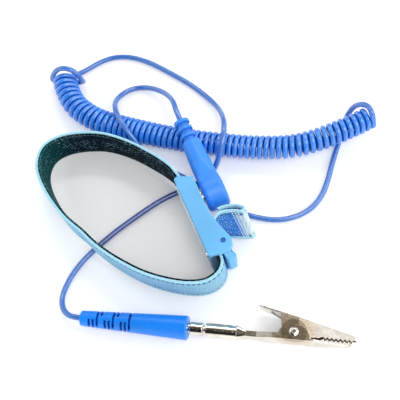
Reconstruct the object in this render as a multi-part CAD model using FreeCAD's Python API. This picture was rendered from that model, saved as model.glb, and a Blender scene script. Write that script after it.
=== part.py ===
"""Wrist strap for grounding: wristband, snap connector, curly cord, plug and spring clip.

Lengths in mm. The origin is the middle of the buckle's lower side face, on the table.
+X runs outward along the snap stud, +Y along the buckle towards the connector's cable
end, and +Z up, across the band.
"""
import math
import os

import FreeCAD
import Part

os.makedirs("parts", exist_ok=True)

# Fits and gaps
PRESS_GAP = 0.02
RUNNING_GAP = 0.06
SIDE_GAP = 0.3

# Band
BAND_WIDTH = 15.0
WEAVE_THICKNESS = 1.1
LINING_THICKNESS = 0.7
FOLD_RADIUS = 0.8
STATIONS_PER_SPAN = 3

# Buckle
SIDE_WALL = 1.7
BAND_REST = SIDE_WALL + SIDE_GAP
BUCKLE_HEIGHT = BAND_WIDTH + 2 * BAND_REST
WEB = 1.0
BUCKLE_INNER_FACE = -3.6
BUCKLE_OUTER_FACE = 3.4
BUCKLE_TOP_END = 17.3
BUCKLE_LOW_END = -17.2
OUTER_WEB_LOW_END = -0.6
PLATE_THICKNESS = 0.5
PLATE_LENGTH = 32.0
MOULDED_EDGE = 0.4

# Cam lever
PIN_PLACE = (3.5, -13.7)
LEVER_PIN_RADIUS = 1.0
PIN_RECESS = 0.6
CAM_RADIUS = 1.7
CAM_OFFSET = 0.5
LEVER_LENGTH = 6.2
LEVER_THICKNESS = 2.2

# Snap fastener
STUD_Y = 9.9
STUD_HEAD_RADIUS = 2.0
STUD_NECK_RADIUS = 1.4
STUD_SHANK_RADIUS = 1.1
STUD_FLANGE_RADIUS = 3.3
STUD_FLANGE = 0.6
STUD_NECK_LENGTH = 1.9
STUD_HEAD_LENGTH = 1.5
RIVET_HEAD_RADIUS = 1.8
SOCKET_RADIUS = 4.4
SOCKET_DEPTH = 4.0
SOCKET_FLOOR = 0.4
SOCKET_BORE_GAP = 0.3
SOCKET_SPRING_WIRE = 0.55
SOCKET_SPRING_GAP = 0.08
SPRING_GROOVE_DEPTH = 0.8

# Connector
CONNECTOR_TILT = 8.0
CONNECTOR_GAP = 0.4
CONNECTOR_WIDTH = 8.6
HEAD_RADIUS = 6.8
BARREL_START = 13.0
BARREL_END = 23.1
BARREL_START_RADIUS = 4.2
BARREL_END_RADIUS = 3.7
BARREL_BORE = 2.05
SHOULDER_START = 4.0
SHOULDER_END = 6.8
SHOULDER_DROP = 1.6
NECK_CORNER = 0.45
BARREL_CORNER = 0.92
RESISTOR_LENGTH = 6.5
RESISTOR_RADIUS = 1.25
RESISTOR_WIRE_RADIUS = 0.3
RELIEF_LENGTH = 9.4
RELIEF_CORE = 2.2
RELIEF_RIB = 3.1
RELIEF_RIBS = 3
RELIEF_RIB_WIDTH = 1.5
RELIEF_SPIGOT = 4.0

# Cord
WIRE_DIAMETER = 2.2
ARC_SHARE = 0.45
LIMP_BEND = 3.0

# Plug, in its own frame: u along the pin, v across on the table, w up
PLUG_PLACE = (-20.8, -33.6, 4.5)
PLUG_TURN = -30.2
SLEEVE_LENGTH = 40.6
SLEEVE_SMALL_RADIUS = 2.85
SLEEVE_LARGE_RADIUS = 4.45
SLEEVE_BORE_LENGTH = 12.0
SLOT_WIDTH = 0.9
SLOT_DEPTH = 1.4
SLOT_SPACING = 1.55
SLOT_COUNT = 11
FIRST_SLOT = 3.85
SLOT_SWEEP = 180.0
SLOT_STARTS = (105.0, 105.0, -20.0, -105.0)
PIN_STEM_RADIUS = 1.5
PIN_STEP = 0.9
PIN_STEP_RADIUS = 2.0
COLLAR_LENGTH = 4.9
COLLAR_RADIUS = 2.45
PIN_CORE_RADIUS = 1.0
PIN_REACH = 17.6
PIN_TIP = 0.9
CAGE_START = 7.0
CAGE_WALL = 0.3
CAGE_RING = 1.0
CAGE_BULGE = 1.97
CAGE_LEAVES = 4
LEAF_SWEEP = 60.0

# Clip, in the plug's frame
TUBE_START = 6.7
TUBE_LENGTH = 11.8
TUBE_BORE_RADIUS = 2.05
TUBE_WALL = 0.45
TUBE_SEAM = 0.5
NECK_LENGTH = 3.0
NECK_HALF_WIDTH = 2.6
SHEET = 0.5
RIVET_PLACE = (38.2, 1.3)
RIVET_RADIUS = 1.1
RIVET_BORE = 0.6
CLIP_RIVET_HEAD = 0.4
CLIP_RIVET_HEAD_RADIUS = 1.65
EAR_HALF_WIDTH = 4.1
EAR_RADIUS = 6.1
EAR_RISE = 5.3
EAR_CHAMFER = 0.35
WIDE_BEHIND_RIVET = 7.2
WIDE_BEFORE_RIVET = 6.8
NARROW_BEHIND_RIVET = 13.2
JAW_GAP = 0.2
TOOTH_PITCH = 1.5
TOOTH_HEIGHT = 0.8
TOOTH_COUNT = 7
LOWER_TIP = 58.3
UPPER_TIP = 60.3
UPPER_NOSE = (UPPER_TIP, 1.8)
HANDLE_TIP = (25.1, 10.2)
HANDLE_HALF_WIDTH = 2.9
HANDLE_RIBS = 4
HANDLE_RIB_SPACING = 0.95
HANDLE_RIB_HEIGHT = 0.3
JAW_LINE = -0.15
CLIP_REACH = 24.0
JAW_SPRING_WIRE = 0.7
JAW_SPRING_RADIUS = 1.75
JAW_SPRING_TURNS = 2
JAW_SPRING_PITCH = 1.16
SPRING_LEG_REACH = 9.2

# Band route: x, y of the strip's middle and its lower edge's height in shares of BAND_REST
BAND_ROUTE = [
    (-1.5, 4.0, 1.0), (-1.5, 11.0, 1.0), (-1.5, 17.4, 1.08), (-2.2, 20.8, 1.45),
    (-3.4, 25.0, 1.35), (-7.3, 33.1, 0.55), (-14.0, 43.3, 0.05), (-22.2, 51.5, 0.0),
    (-31.1, 56.3, 0.0), (-39.3, 58.3, 0.0), (-46.0, 56.8, 0.0), (-50.2, 51.0, 0.0),
    (-51.2, 43.6, 0.0), (-50.0, 33.7, 0.15), (-47.0, 22.8, 0.8), (-42.9, 13.8, 1.35),
    (-40.0, 7.0, 1.05), (-35.3, -0.7, 0.45), (-28.2, -9.8, 0.05), (-20.8, -16.6, 0.0),
    (-14.0, -21.2, 0.15), (-8.0, -23.4, 0.4), (-2.9, -22.6, 0.7), (-0.2, -19.8, 0.95),
    (0.2, -16.6, 1.0), (0.2, -13.2, 1.0), (0.3, -10.2, 1.05),
]

# Tail, from the cam to its fold: x, y of each edge and its rise over the band's edge there
TAIL_ROUTE = [
    ((1.2, -7.6, 0.2), (1.0, -6.9, 0.1)),
    ((2.9, -6.3, 0.4), (2.5, -4.5, 0.1)),
    ((5.3, -6.4, 0.7), (4.4, -2.8, 0.1)),
    ((8.0, -7.7, 1.2), (6.6, -1.5, -0.2)),
    ((10.7, -9.2, 1.1), (9.2, -1.5, -1.1)),
    ((13.0, -10.3, 0.8), (11.9, -2.4, -1.5)),
    ((14.7, -10.9, 0.7), (14.2, -4.2, -1.0)),
]
TAIL_BACK_SPANS = 9
TAIL_BULGE = 1.1

# Curly cord: points that draw the line round which it winds, left end first
COIL_LINE = [
    (-28.2, 91.1, 5.4), (-28.7, 88.0, 5.4), (-29.0, 82.4, 5.4), (-28.0, 74.4, 5.4),
    (-21.8, 63.8, 5.4), (-12.2, 55.0, 5.35), (-2.6, 46.6, 5.3), (8.0, 38.2, 5.2),
    (20.0, 30.0, 5.1), (31.5, 22.6, 5.3), (42.0, 17.0, 5.9), (50.5, 14.2, 6.8),
    (59.5, 13.1, 7.4), (67.0, 12.9, 7.6), (73.0, 13.0, 7.6), (76.4, 13.2, 7.5),
]
COIL_LEFT_RADIUS = 4.2
COIL_RIGHT_RADIUS = 3.5
COIL_SPACING = 2.62
COIL_START_ANGLE = 270.0
COIL_END_ANGLE = 355.0
COIL_STEPS = 1500

# Lead from the connector to the curly cord's right end
CONNECTOR_LEAD = [
    (9.7, 53.8, 12.6), (8.4, 62.6, 7.0), (5.2, 69.8, 2.8), (1.2, 74.0, 1.1),
    (-4.2, 75.6, 1.1), (-9.4, 73.4, 2.6), (-12.2, 69.0, 6.2), (-13.2, 63.9, 10.0),
    (-13.5, 58.4, 12.2), (-12.9, 52.2, 12.2), (-11.5, 47.0, 9.6), (-10.0, 42.6, 4.2),
    (-8.0, 38.4, 1.1), (-4.8, 33.4, 1.2), (-1.7, 28.4, 2.4), (1.2, 23.6, 4.0),
    (4.6, 17.9, 4.0), (7.4, 12.8, 1.6), (10.0, 7.6, 1.1), (13.8, 2.4, 1.1),
    (20.4, -3.9, 1.1), (26.8, -8.2, 1.1), (33.6, -9.9, 1.1), (40.1, -9.4, 1.1),
    (45.5, -6.8, 1.1), (49.8, -3.0, 1.1), (53.9, 1.8, 1.1), (58.0, 6.8, 1.1),
    (62.6, 11.8, 1.1), (66.8, 16.6, 1.1),
]
CONNECTOR_LEAD_LOOP = [
    (69.8, 19.9, 1.6), (72.2, 21.0, 4.4), (74.0, 20.2, 8.4), (75.6, 17.9, 11.6),
    (76.7, 14.9, 13.3), (76.2, 11.0, 13.9),
]

# Lead from the curly cord's left end to the plug
PLUG_LEAD_LOOP = [
    (-20.9, 88.3, 2.2), (-21.5, 86.2, 5.6), (-21.9, 86.6, 9.4), (-23.5, 88.6, 12.5),
    (-26.8, 91.2, 12.9), (-29.9, 93.2, 10.6), (-32.5, 94.2, 7.0), (-33.6, 94.8, 3.5),
    (-31.8, 95.3, 1.1),
]
PLUG_LEAD = [
    (-27.8, 94.9, 1.1), (-23.4, 94.2, 1.1), (-18.7, 94.2, 1.1), (-13.8, 95.1, 1.1),
    (-8.6, 95.4, 1.1), (-3.2, 94.4, 1.1), (3.0, 90.6, 1.1), (8.6, 84.4, 1.1),
    (14.2, 75.6, 1.1), (20.0, 65.9, 1.1), (24.0, 56.6, 1.1), (25.8, 48.4, 3.2),
    (25.4, 41.2, 8.2), (24.3, 35.4, 12.0), (22.0, 30.0, 12.9), (19.0, 26.0, 11.3),
    (15.6, 23.0, 6.9), (12.0, 21.5, 3.0), (7.0, 20.6, 1.1), (1.6, 20.2, 1.1),
    (-5.0, 20.5, 1.1), (-12.6, 20.1, 1.1), (-21.8, 18.2, 1.1), (-31.6, 15.9, 1.1),
    (-40.6, 13.0, 1.1), (-47.2, 10.4, 1.1), (-52.8, 7.2, 1.1), (-57.2, 3.6, 1.1),
    (-60.7, -0.8, 1.6), (-61.6, -5.3, 2.9), (-60.8, -8.9, 3.9),
]
PLUG_LEAD_STRAIGHT = 3.2
RELIEF_LEAD_STRAIGHT = 5.5
COIL_LEAD_STRAIGHT = 3.0
LOOP_END_STRAIGHT = 2.4


# Plain shapes

def vec(point):
    return FreeCAD.Vector(*point)


def box(x_range, y_range, z_range):
    size = [high - low for low, high in (x_range, y_range, z_range)]
    corner = FreeCAD.Vector(x_range[0], y_range[0], z_range[0])
    return Part.makeBox(size[0], size[1], size[2], corner)


def rod(radius, start, end):
    start, end = vec(start), vec(end)
    return Part.makeCylinder(radius, (end - start).Length, start, end - start)


def prism(outline, low, high):
    """Outline in x and y, drawn up from low to high."""
    points = [FreeCAD.Vector(x, y, low) for x, y in outline]
    face = Part.Face(Part.makePolygon(points + points[:1]))
    return face.extrude(FreeCAD.Vector(0, 0, high - low))


def turned(profile, sweep=360.0, start=0.0):
    """Profile of (distance along X, radius), turned about the X axis."""
    points = [FreeCAD.Vector(along, radius, 0) for along, radius in profile]
    face = Part.Face(Part.makePolygon(points + points[:1]))
    origin = FreeCAD.Vector(0, 0, 0)
    axis = FreeCAD.Vector(1, 0, 0)
    face.rotate(origin, axis, start)
    return face.revolve(origin, axis, sweep)


def moved(shape, place, turn_axis=(0, 0, 1), turn=0.0):
    result = shape.copy()
    rotation = FreeCAD.Rotation(vec(turn_axis), turn)
    result.Placement = FreeCAD.Placement(vec(place), rotation).multiply(result.Placement)
    return result


def save(shape, node):
    shape.exportStep("parts/%s.step" % node)


# Tubes

def swept(edges, start, direction, radius):
    ring = Part.Circle(start, direction, radius).toShape()
    return Part.Wire(edges).makePipeShell([Part.Wire([ring])], True, False)


def rounded_run(points):
    """Straight runs joined by tangent arcs: the edges and the arcs' radii."""
    edges = []
    radii = []
    start = points[0]
    for before, corner, after in zip(points, points[1:], points[2:]):
        inward = corner - before
        outward = after - corner
        cut = ARC_SHARE * min(inward.Length, outward.Length)
        inward.normalize()
        outward.normalize()
        half_turn = inward.getAngle(outward) / 2
        radius = cut / math.tan(half_turn)
        arc_start = corner - inward * cut
        arc_end = corner + outward * cut
        middle_way = (outward - inward).normalize()
        arc_middle = corner + middle_way * (radius / math.cos(half_turn) - radius)
        edges.append(Part.LineSegment(start, arc_start).toShape())
        edges.append(Part.Arc(arc_start, arc_middle, arc_end).toShape())
        radii.append(radius)
        start = arc_end
    edges.append(Part.LineSegment(start, points[-1]).toShape())
    return edges, radii


def arc_from(start, direction, end):
    """Arc that leaves start along the direction and reaches end."""
    chord = end - start
    side = chord - direction * chord.dot(direction)
    side.normalize()
    radius = chord.dot(chord) / (2 * chord.dot(side))
    centre = start + side * radius
    middle_way = ((start - centre) + (end - centre)).normalize()
    return Part.Arc(start, centre + middle_way * radius, end).toShape()


def biarc(start, start_way, end, end_way):
    """Two tangent arcs from one point and direction to the next."""
    chord = end - start
    both = chord.dot(start_way + end_way)
    spread = 2 * (1 - start_way.dot(end_way))
    reach = (math.sqrt(both * both + spread * chord.dot(chord)) - both) / spread
    joint = (start + start_way * reach + end - end_way * reach) * 0.5
    first = arc_from(start, start_way, joint)
    second = arc_from(end, end_way * -1, joint)
    return [first, second]


def wound_edges(point_at, turns, spans):
    """Half-turn biarcs along a winding; point_at gives the place after so many turns."""
    small = 0.001
    places = []
    for index in range(spans + 1):
        turn = turns * index / spans
        way = point_at(turn + small) - point_at(turn - small)
        places.append((point_at(turn), way.normalize()))
    edges = []
    for (start, start_way), (end, end_way) in zip(places, places[1:]):
        edges += biarc(start, start_way, end, end_way)
    return edges, places[0], places[-1]


def least_gap(points, skip, wire):
    """Least space between a winding's surfaces; skip leaves out a point's neighbours."""
    least = None
    for index, point in enumerate(points):
        for other in points[index + skip:]:
            distance = (other - point).Length
            if least is None or distance < least:
                least = distance
    return least - wire


def report_tube(name, shape, radius):
    length = shape.Volume / (math.pi * radius * radius)
    print("%s: volume %.1f mm3, which is %.1f mm of its section" % (name, shape.Volume, length))


# Wristband

def smooth_between(rows, steps):
    """Points on a smooth line through rows of numbers, so many steps to a span."""
    result = []
    for index in range(len(rows) - 1):
        here, after = rows[index], rows[index + 1]
        before = rows[max(index - 1, 0)]
        later = rows[min(index + 2, len(rows) - 1)]
        for step in range(steps):
            share = step / steps
            row = []
            for a, b, c, d in zip(before, here, after, later):
                slope = (c - a) / 2
                next_slope = (d - b) / 2
                bend = 3 * (c - b) - 2 * slope - next_slope
                twist = slope + next_slope - 2 * (c - b)
                row.append(b + share * (slope + share * (bend + share * twist)))
            result.append(row)
    result.append(list(rows[-1]))
    return result


def band_stations():
    """Lower and upper edge of the strip's middle, and the number before the fold."""
    rows = []
    for x, y, share in BAND_ROUTE:
        low = share * BAND_REST
        rows.append((x, y, low, x, y, low + BAND_WIDTH))
    for (x, y, rise), (upper_x, upper_y, upper_rise) in TAIL_ROUTE:
        low = BAND_REST + rise
        rows.append((x, y, low, upper_x, upper_y, BAND_REST + BAND_WIDTH + upper_rise))
    pairs = [(vec(row[:3]), vec(row[3:])) for row in smooth_between(rows, STATIONS_PER_SPAN)]
    lining_end = STATIONS_PER_SPAN * (len(BAND_ROUTE) - 1)
    low, high = pairs[-1]
    way = ((low - pairs[-2][0]) + (high - pairs[-2][1])).normalize()
    width_way = (high - low).normalize()
    way = (way - width_way * way.dot(width_way)).normalize()
    inward = width_way.cross(way)
    fold = []
    for step in range(1, 7):
        angle = math.pi * step / 6
        shift = way * (FOLD_RADIUS * math.sin(angle))
        shift = shift + inward * (FOLD_RADIUS * (1 - math.cos(angle)))
        fold.append((low + shift, high + shift))
    back = []
    first = len(pairs) - 1 - TAIL_BACK_SPANS
    for step in range(TAIL_BACK_SPANS):
        pair, after = pairs[first + step], pairs[first + step + 1]
        along = ((after[0] - pair[0]) + (after[1] - pair[1])).normalize()
        across = (pair[1] - pair[0]).normalize()
        bulge = TAIL_BULGE * math.sin(math.pi * step / TAIL_BACK_SPANS)
        side = across.cross(along) * (2 * FOLD_RADIUS + bulge)
        back.append((pair[0] + side, pair[1] + side))
    back.reverse()
    return pairs + fold + back, lining_end


def strip(pairs, inner, outer):
    """Ruled strip between two offsets from the middle, positive to its outer side."""
    sections = []
    for index, (low, high) in enumerate(pairs):
        before = pairs[max(index - 1, 0)]
        after = pairs[min(index + 1, len(pairs) - 1)]
        way = (after[0] - before[0]) + (after[1] - before[1])
        side = way.cross(high - low).normalize()
        corners = [low + side * inner, low + side * outer, high + side * outer, high + side * inner]
        sections.append(Part.makePolygon(corners + corners[:1]))
    return Part.makeLoft(sections, True, True)


def stud_height():
    return BUCKLE_HEIGHT / 2


def stud_hole(gap=PRESS_GAP):
    start = (BUCKLE_INNER_FACE - 2, STUD_Y, stud_height())
    end = (BUCKLE_OUTER_FACE + 2, STUD_Y, stud_height())
    return rod(STUD_SHANK_RADIUS + gap, start, end)


def make_band():
    pairs, lining_end = band_stations()
    half = (WEAVE_THICKNESS + LINING_THICKNESS) / 2
    seam = LINING_THICKNESS - half
    weave = strip(pairs, seam, half).cut(stud_hole())
    lining = strip(pairs[:lining_end + 1], -half, seam).cut(stud_hole())
    return weave, lining


def wall_outline():
    return [
        (BUCKLE_INNER_FACE, BUCKLE_TOP_END), (-1.9, BUCKLE_TOP_END + 0.3),
        (BUCKLE_OUTER_FACE, BUCKLE_TOP_END - 2.1), (BUCKLE_OUTER_FACE, 4.0), (3.6, -2.8),
        (4.8, -7.9), (6.6, PIN_PLACE[1] - 0.2), (6.0, -16.6), (4.3, -18.2), (0.6, -17.8),
        (BUCKLE_INNER_FACE, BUCKLE_LOW_END),
    ]


def side_wall(low, high, outer_level):
    wall = prism(wall_outline(), low, high)
    upright = [edge for edge in wall.Edges if edge.BoundBox.ZLength > SIDE_WALL / 2]
    wall = wall.makeFillet(0.8, upright)
    rim = [edge for edge in wall.Edges
           if edge.BoundBox.ZLength < 0.01 and abs(edge.BoundBox.ZMax - outer_level) < 0.01]
    return wall.makeFillet(MOULDED_EDGE, rim)


def make_buckle():
    inside = (SIDE_WALL - 0.2, BUCKLE_HEIGHT - SIDE_WALL + 0.2)
    body = side_wall(0.0, SIDE_WALL, 0.0)
    body = body.fuse(side_wall(BUCKLE_HEIGHT - SIDE_WALL, BUCKLE_HEIGHT, BUCKLE_HEIGHT))
    inner_web = box((BUCKLE_INNER_FACE, BUCKLE_INNER_FACE + WEB),
                    (BUCKLE_LOW_END + 0.6, BUCKLE_TOP_END - 0.6), inside)
    outer_web = box((BUCKLE_OUTER_FACE - WEB, BUCKLE_OUTER_FACE),
                    (OUTER_WEB_LOW_END, BUCKLE_TOP_END - 2.6), inside)
    half_band = (WEAVE_THICKNESS + LINING_THICKNESS) / 2
    anvil_face = BAND_ROUTE[-2][0] - half_band - JAW_GAP
    anvil = box((BUCKLE_INNER_FACE + WEB / 2, anvil_face),
                (PIN_PLACE[1] - 2.0, PIN_PLACE[1] + 2.0), inside)
    body = body.fuse([inner_web, outer_web, anvil])
    pin_hole = rod(LEVER_PIN_RADIUS + PRESS_GAP, PIN_PLACE + (-1,), PIN_PLACE + (BUCKLE_HEIGHT + 1,))
    return body.cut([pin_hole, stud_hole()]).removeSplitter()


def plate_outer_face():
    return BUCKLE_INNER_FACE - PLATE_THICKNESS


def rivet_head(gap=0.0):
    """Countersunk head, flush with the contact plate's face on the wrist's side."""
    profile = [
        (plate_outer_face(), 0), (plate_outer_face(), RIVET_HEAD_RADIUS + gap),
        (BUCKLE_INNER_FACE, STUD_SHANK_RADIUS + gap), (BUCKLE_INNER_FACE, 0),
    ]
    return moved(turned(profile), (0, STUD_Y, stud_height()))


def make_contact_plate():
    plate = box((plate_outer_face(), BUCKLE_INNER_FACE), (-PLATE_LENGTH / 2, PLATE_LENGTH / 2),
                (BAND_REST, BUCKLE_HEIGHT - BAND_REST))
    corners = [e for e in plate.Edges if e.BoundBox.XLength > PLATE_THICKNESS / 2]
    return plate.makeFillet(1.5, corners).cut([stud_hole(), rivet_head(PRESS_GAP)])


def make_lever():
    """Cam and thumb tab, shut: the cam presses the band, the tab points down the buckle."""
    low = BAND_REST + 0.2
    high = BUCKLE_HEIGHT - low
    x, y = PIN_PLACE
    cam = rod(CAM_RADIUS, (x - CAM_OFFSET, y, low), (x - CAM_OFFSET, y, high))
    inner = x - CAM_RADIUS - 0.1
    tip = y - LEVER_LENGTH
    arm = prism([(inner, y), (inner + 0.2, tip + 1.2), (inner + 0.9, tip),
                 (inner + LEVER_THICKNESS + 1.0, tip), (inner + LEVER_THICKNESS + 1.5, tip + 0.6),
                 (inner + LEVER_THICKNESS + 1.0, tip + 1.6), (inner + LEVER_THICKNESS, tip + 2.4),
                 (inner + LEVER_THICKNESS + 0.9, y)], low, high)
    corners = [e for e in arm.Edges if e.BoundBox.ZLength > 1 and e.BoundBox.YMax < tip + 2.0]
    arm = arm.makeFillet(0.3, corners)
    arm = rounded_tab(arm, tip, low, high)
    lever = cam.fuse(arm)
    hole = rod(LEVER_PIN_RADIUS + RUNNING_GAP, (x, y, low - 1), (x, y, high + 1))
    return lever.cut(hole).removeSplitter()


def rounded_tab(arm, tip, low, high):
    """The tab's two corners, seen from outside the buckle, are rounded off."""
    radius = 3.0
    result = arm
    corners = ((low + radius, (low - 1, low + radius)), (high - radius, (high - radius, high + 1)))
    for centre, levels in corners:
        block = box((-2, 12), (tip - 1, tip + radius), levels)
        disc = rod(radius, (-3, tip + radius, centre), (13, tip + radius, centre))
        result = result.cut(block.cut(disc))
    return result


def make_lever_pin():
    return rod(LEVER_PIN_RADIUS, PIN_PLACE + (PIN_RECESS,), PIN_PLACE + (BUCKLE_HEIGHT - PIN_RECESS,))


def stud_head_end():
    return BUCKLE_OUTER_FACE + STUD_FLANGE + STUD_NECK_LENGTH + STUD_HEAD_LENGTH


def make_stud():
    flange_end = BUCKLE_OUTER_FACE + STUD_FLANGE
    neck_end = flange_end + STUD_NECK_LENGTH
    end = stud_head_end()
    profile = [
        (BUCKLE_INNER_FACE, 0), (BUCKLE_INNER_FACE, STUD_SHANK_RADIUS),
        (BUCKLE_OUTER_FACE, STUD_SHANK_RADIUS), (BUCKLE_OUTER_FACE, STUD_FLANGE_RADIUS),
        (flange_end, STUD_FLANGE_RADIUS), (flange_end, STUD_NECK_RADIUS),
        (neck_end, STUD_NECK_RADIUS), (neck_end + 0.4, STUD_HEAD_RADIUS),
        (end - 0.5, STUD_HEAD_RADIUS), (end, STUD_HEAD_RADIUS - 0.5), (end, 0),
    ]
    stud = moved(turned(profile), (0, STUD_Y, stud_height()))
    return stud.fuse(rivet_head()).removeSplitter()


# Connector, drawn level along +Y from the stud and then tilted about it

def tilted(shape):
    return moved(shape, (0, STUD_Y, stud_height()), (1, 0, 0), CONNECTOR_TILT)


def connector_face():
    return BUCKLE_OUTER_FACE + STUD_FLANGE + CONNECTOR_GAP


def connector_axis():
    return connector_face() + CONNECTOR_WIDTH / 2


def along_barrel(profile, x, sweep=360.0):
    """Profile of (distance along the barrel, radius) about a line at x."""
    return moved(turned(profile, sweep), (x, 0, 0), (0, 0, 1), 90)


def make_connector_housing():
    face = connector_face()
    x = connector_axis()
    head = rod(HEAD_RADIUS, (face, 0, 0), (face + CONNECTOR_WIDTH, 0, 0))
    rims = [edge for edge in head.Edges if edge.BoundBox.XLength < 0.01]
    head = head.makeFillet(1.6, rims)
    high = HEAD_RADIUS - 0.6
    wide = CONNECTOR_WIDTH / 2 - 0.1
    low = high - SHOULDER_DROP
    neck_start = math.sqrt(HEAD_RADIUS ** 2 - high ** 2) - 0.2
    neck = Part.makeLoft([
        rounded_section(x, neck_start, wide, high, NECK_CORNER),
        rounded_section(x, SHOULDER_START, wide, high - 0.1, NECK_CORNER),
        rounded_section(x, SHOULDER_END, wide - 0.1, low, NECK_CORNER),
        rounded_section(x, BARREL_START, BARREL_START_RADIUS, BARREL_START_RADIUS, BARREL_CORNER),
    ], True, True)
    inside = BARREL_START_RADIUS - 1.0
    core = along_barrel([(0, 0), (0, inside), (BARREL_START, inside), (BARREL_START, BARREL_START_RADIUS),
                         (BARREL_END - 0.6, BARREL_END_RADIUS), (BARREL_END, BARREL_END_RADIUS - 0.6),
                         (BARREL_END, 0)], x)
    body = head.fuse([neck, core])
    cup = rod(SOCKET_RADIUS + PRESS_GAP, (face - 1, 0, 0), (face + SOCKET_DEPTH, 0, 0))
    bore = rod(BARREL_BORE, (x, SOCKET_RADIUS - 0.4, 0), (x, BARREL_END + 1, 0))
    return tilted(body.cut([cup, bore]))


def rounded_section(x, y, half_width, half_height, corner_share):
    """Rectangle with arcs for corners, across the barrel at y."""
    corner = min(half_width, half_height) * corner_share
    flat_x, flat_z = half_width - corner, half_height - corner
    bulge = corner * math.sqrt(0.5)
    points = []
    for sign_x, sign_z in ((1, 1), (-1, 1), (-1, -1), (1, -1)):
        side = (x + sign_x * half_width, y, sign_z * flat_z)
        middle = (x + sign_x * (flat_x + bulge), y, sign_z * (flat_z + bulge))
        top = (x + sign_x * flat_x, y, sign_z * half_height)
        trio = (side, middle, top)
        points.append(trio if sign_x == sign_z else trio[::-1])
    edges = []
    for index, trio in enumerate(points):
        edges.append(Part.Arc(vec(trio[0]), vec(trio[1]), vec(trio[2])).toShape())
        following = points[(index + 1) % 4][0]
        edges.append(Part.LineSegment(vec(trio[2]), vec(following)).toShape())
    return Part.Wire(edges)


def spring_groove_start():
    return connector_face() + 0.5


def make_snap_socket():
    face = connector_face()
    bore = STUD_HEAD_RADIUS + SOCKET_BORE_GAP
    groove = spring_groove_start()
    groove_end = groove + SOCKET_SPRING_WIRE + 2 * RUNNING_GAP
    cup = turned([(face, bore), (face, SOCKET_RADIUS), (face + SOCKET_DEPTH, SOCKET_RADIUS),
                  (face + SOCKET_DEPTH, 0), (face + SOCKET_DEPTH - SOCKET_FLOOR, 0),
                  (face + SOCKET_DEPTH - SOCKET_FLOOR, bore), (groove_end, bore),
                  (groove_end, bore + SPRING_GROOVE_DEPTH), (groove, bore + SPRING_GROOVE_DEPTH),
                  (groove, bore)])
    return tilted(cup)


def make_socket_spring():
    """Two straight legs that grip the stud's neck, joined by a half ring."""
    wire = SOCKET_SPRING_WIRE
    x = spring_groove_start() + RUNNING_GAP + wire / 2
    leg = STUD_NECK_RADIUS + SOCKET_SPRING_GAP + wire / 2
    top = STUD_HEAD_RADIUS + SOCKET_BORE_GAP + SPRING_GROOVE_DEPTH - RUNNING_GAP - wire / 2 - leg
    foot = -top - 1.0
    edges = [
        Part.LineSegment(vec((x, leg, foot)), vec((x, leg, top))).toShape(),
        Part.Arc(vec((x, leg, top)), vec((x, 0, top + leg)), vec((x, -leg, top))).toShape(),
        Part.LineSegment(vec((x, -leg, top)), vec((x, -leg, foot))).toShape(),
    ]
    return tilted(swept(edges, vec((x, leg, foot)), vec((0, 0, 1)), wire / 2))


def resistor_axis():
    """Beside the barrel's middle, where its wire meets the cup's side."""
    return connector_face() + SOCKET_DEPTH - 0.4


def make_resistor():
    x = resistor_axis()
    start = SOCKET_RADIUS + 3.2
    end = start + RESISTOR_LENGTH
    cap = RESISTOR_RADIUS
    body = along_barrel([(start, 0), (start, cap - 0.2), (start + 0.2, cap), (start + 1.3, cap),
                         (start + 1.6, cap - 0.2), (end - 1.6, cap - 0.2), (end - 1.3, cap),
                         (end - 0.2, cap), (end, cap - 0.2), (end, 0)], x)
    return tilted(body)


def make_resistor_wires():
    """One wire reaches the socket cup, the other the cord's end in the strain relief."""
    x = resistor_axis()
    start = SOCKET_RADIUS + 3.2
    front = rod(RESISTOR_WIRE_RADIUS, (x, SOCKET_RADIUS, 0), (x, start, 0))
    rear_end = BARREL_END - RELIEF_SPIGOT
    rear = rod(RESISTOR_WIRE_RADIUS, (x, start + RESISTOR_LENGTH, 0), (x, rear_end, 0))
    return tilted(front), tilted(rear)


def make_strain_relief():
    """Ribbed bush with a spigot in the barrel's bore."""
    x = connector_axis()
    start = BARREL_END
    end = start + RELIEF_LENGTH
    gap = (RELIEF_LENGTH - RELIEF_RIBS * RELIEF_RIB_WIDTH) / RELIEF_RIBS
    profile = [(start - RELIEF_SPIGOT, 0), (start - RELIEF_SPIGOT, BARREL_BORE - PRESS_GAP),
               (start, BARREL_BORE - PRESS_GAP), (start, RELIEF_CORE)]
    for index in range(RELIEF_RIBS):
        rib = start + gap * (index + 1) + RELIEF_RIB_WIDTH * index
        profile += [(rib, RELIEF_CORE), (rib + 0.15, RELIEF_RIB),
                    (rib + RELIEF_RIB_WIDTH - 0.15, RELIEF_RIB)]
        if index < RELIEF_RIBS - 1:
            profile.append((rib + RELIEF_RIB_WIDTH, RELIEF_CORE))
    profile += [(end, RELIEF_RIB - 0.2), (end, 0)]
    return tilted(along_barrel(profile, x))


def relief_exit():
    """Middle of the strain relief's end face, and the way that the cord leaves it."""
    tilt = math.radians(CONNECTOR_TILT)
    way = FreeCAD.Vector(0, math.cos(tilt), math.sin(tilt))
    stud = FreeCAD.Vector(connector_axis(), STUD_Y, stud_height())
    return stud + way * (BARREL_END + RELIEF_LENGTH), way


# Curly cord

def spline_point(points, share):
    """Point on the smooth cubic line that the given points draw."""
    padded = [points[0]] * 2 + points + [points[-1]] * 2
    place = min(max(share, 0.0), 1.0) * (len(padded) - 3)
    index = min(int(place), len(padded) - 4)
    t = place - index
    weights = ((1 - t) ** 3 / 6, (3 * t ** 3 - 6 * t ** 2 + 4) / 6,
               (-3 * t ** 3 + 3 * t ** 2 + 3 * t + 1) / 6, t ** 3 / 6)
    result = FreeCAD.Vector(0, 0, 0)
    for weight, point in zip(weights, padded[index:index + 4]):
        result = result + point * weight
    return result


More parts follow.
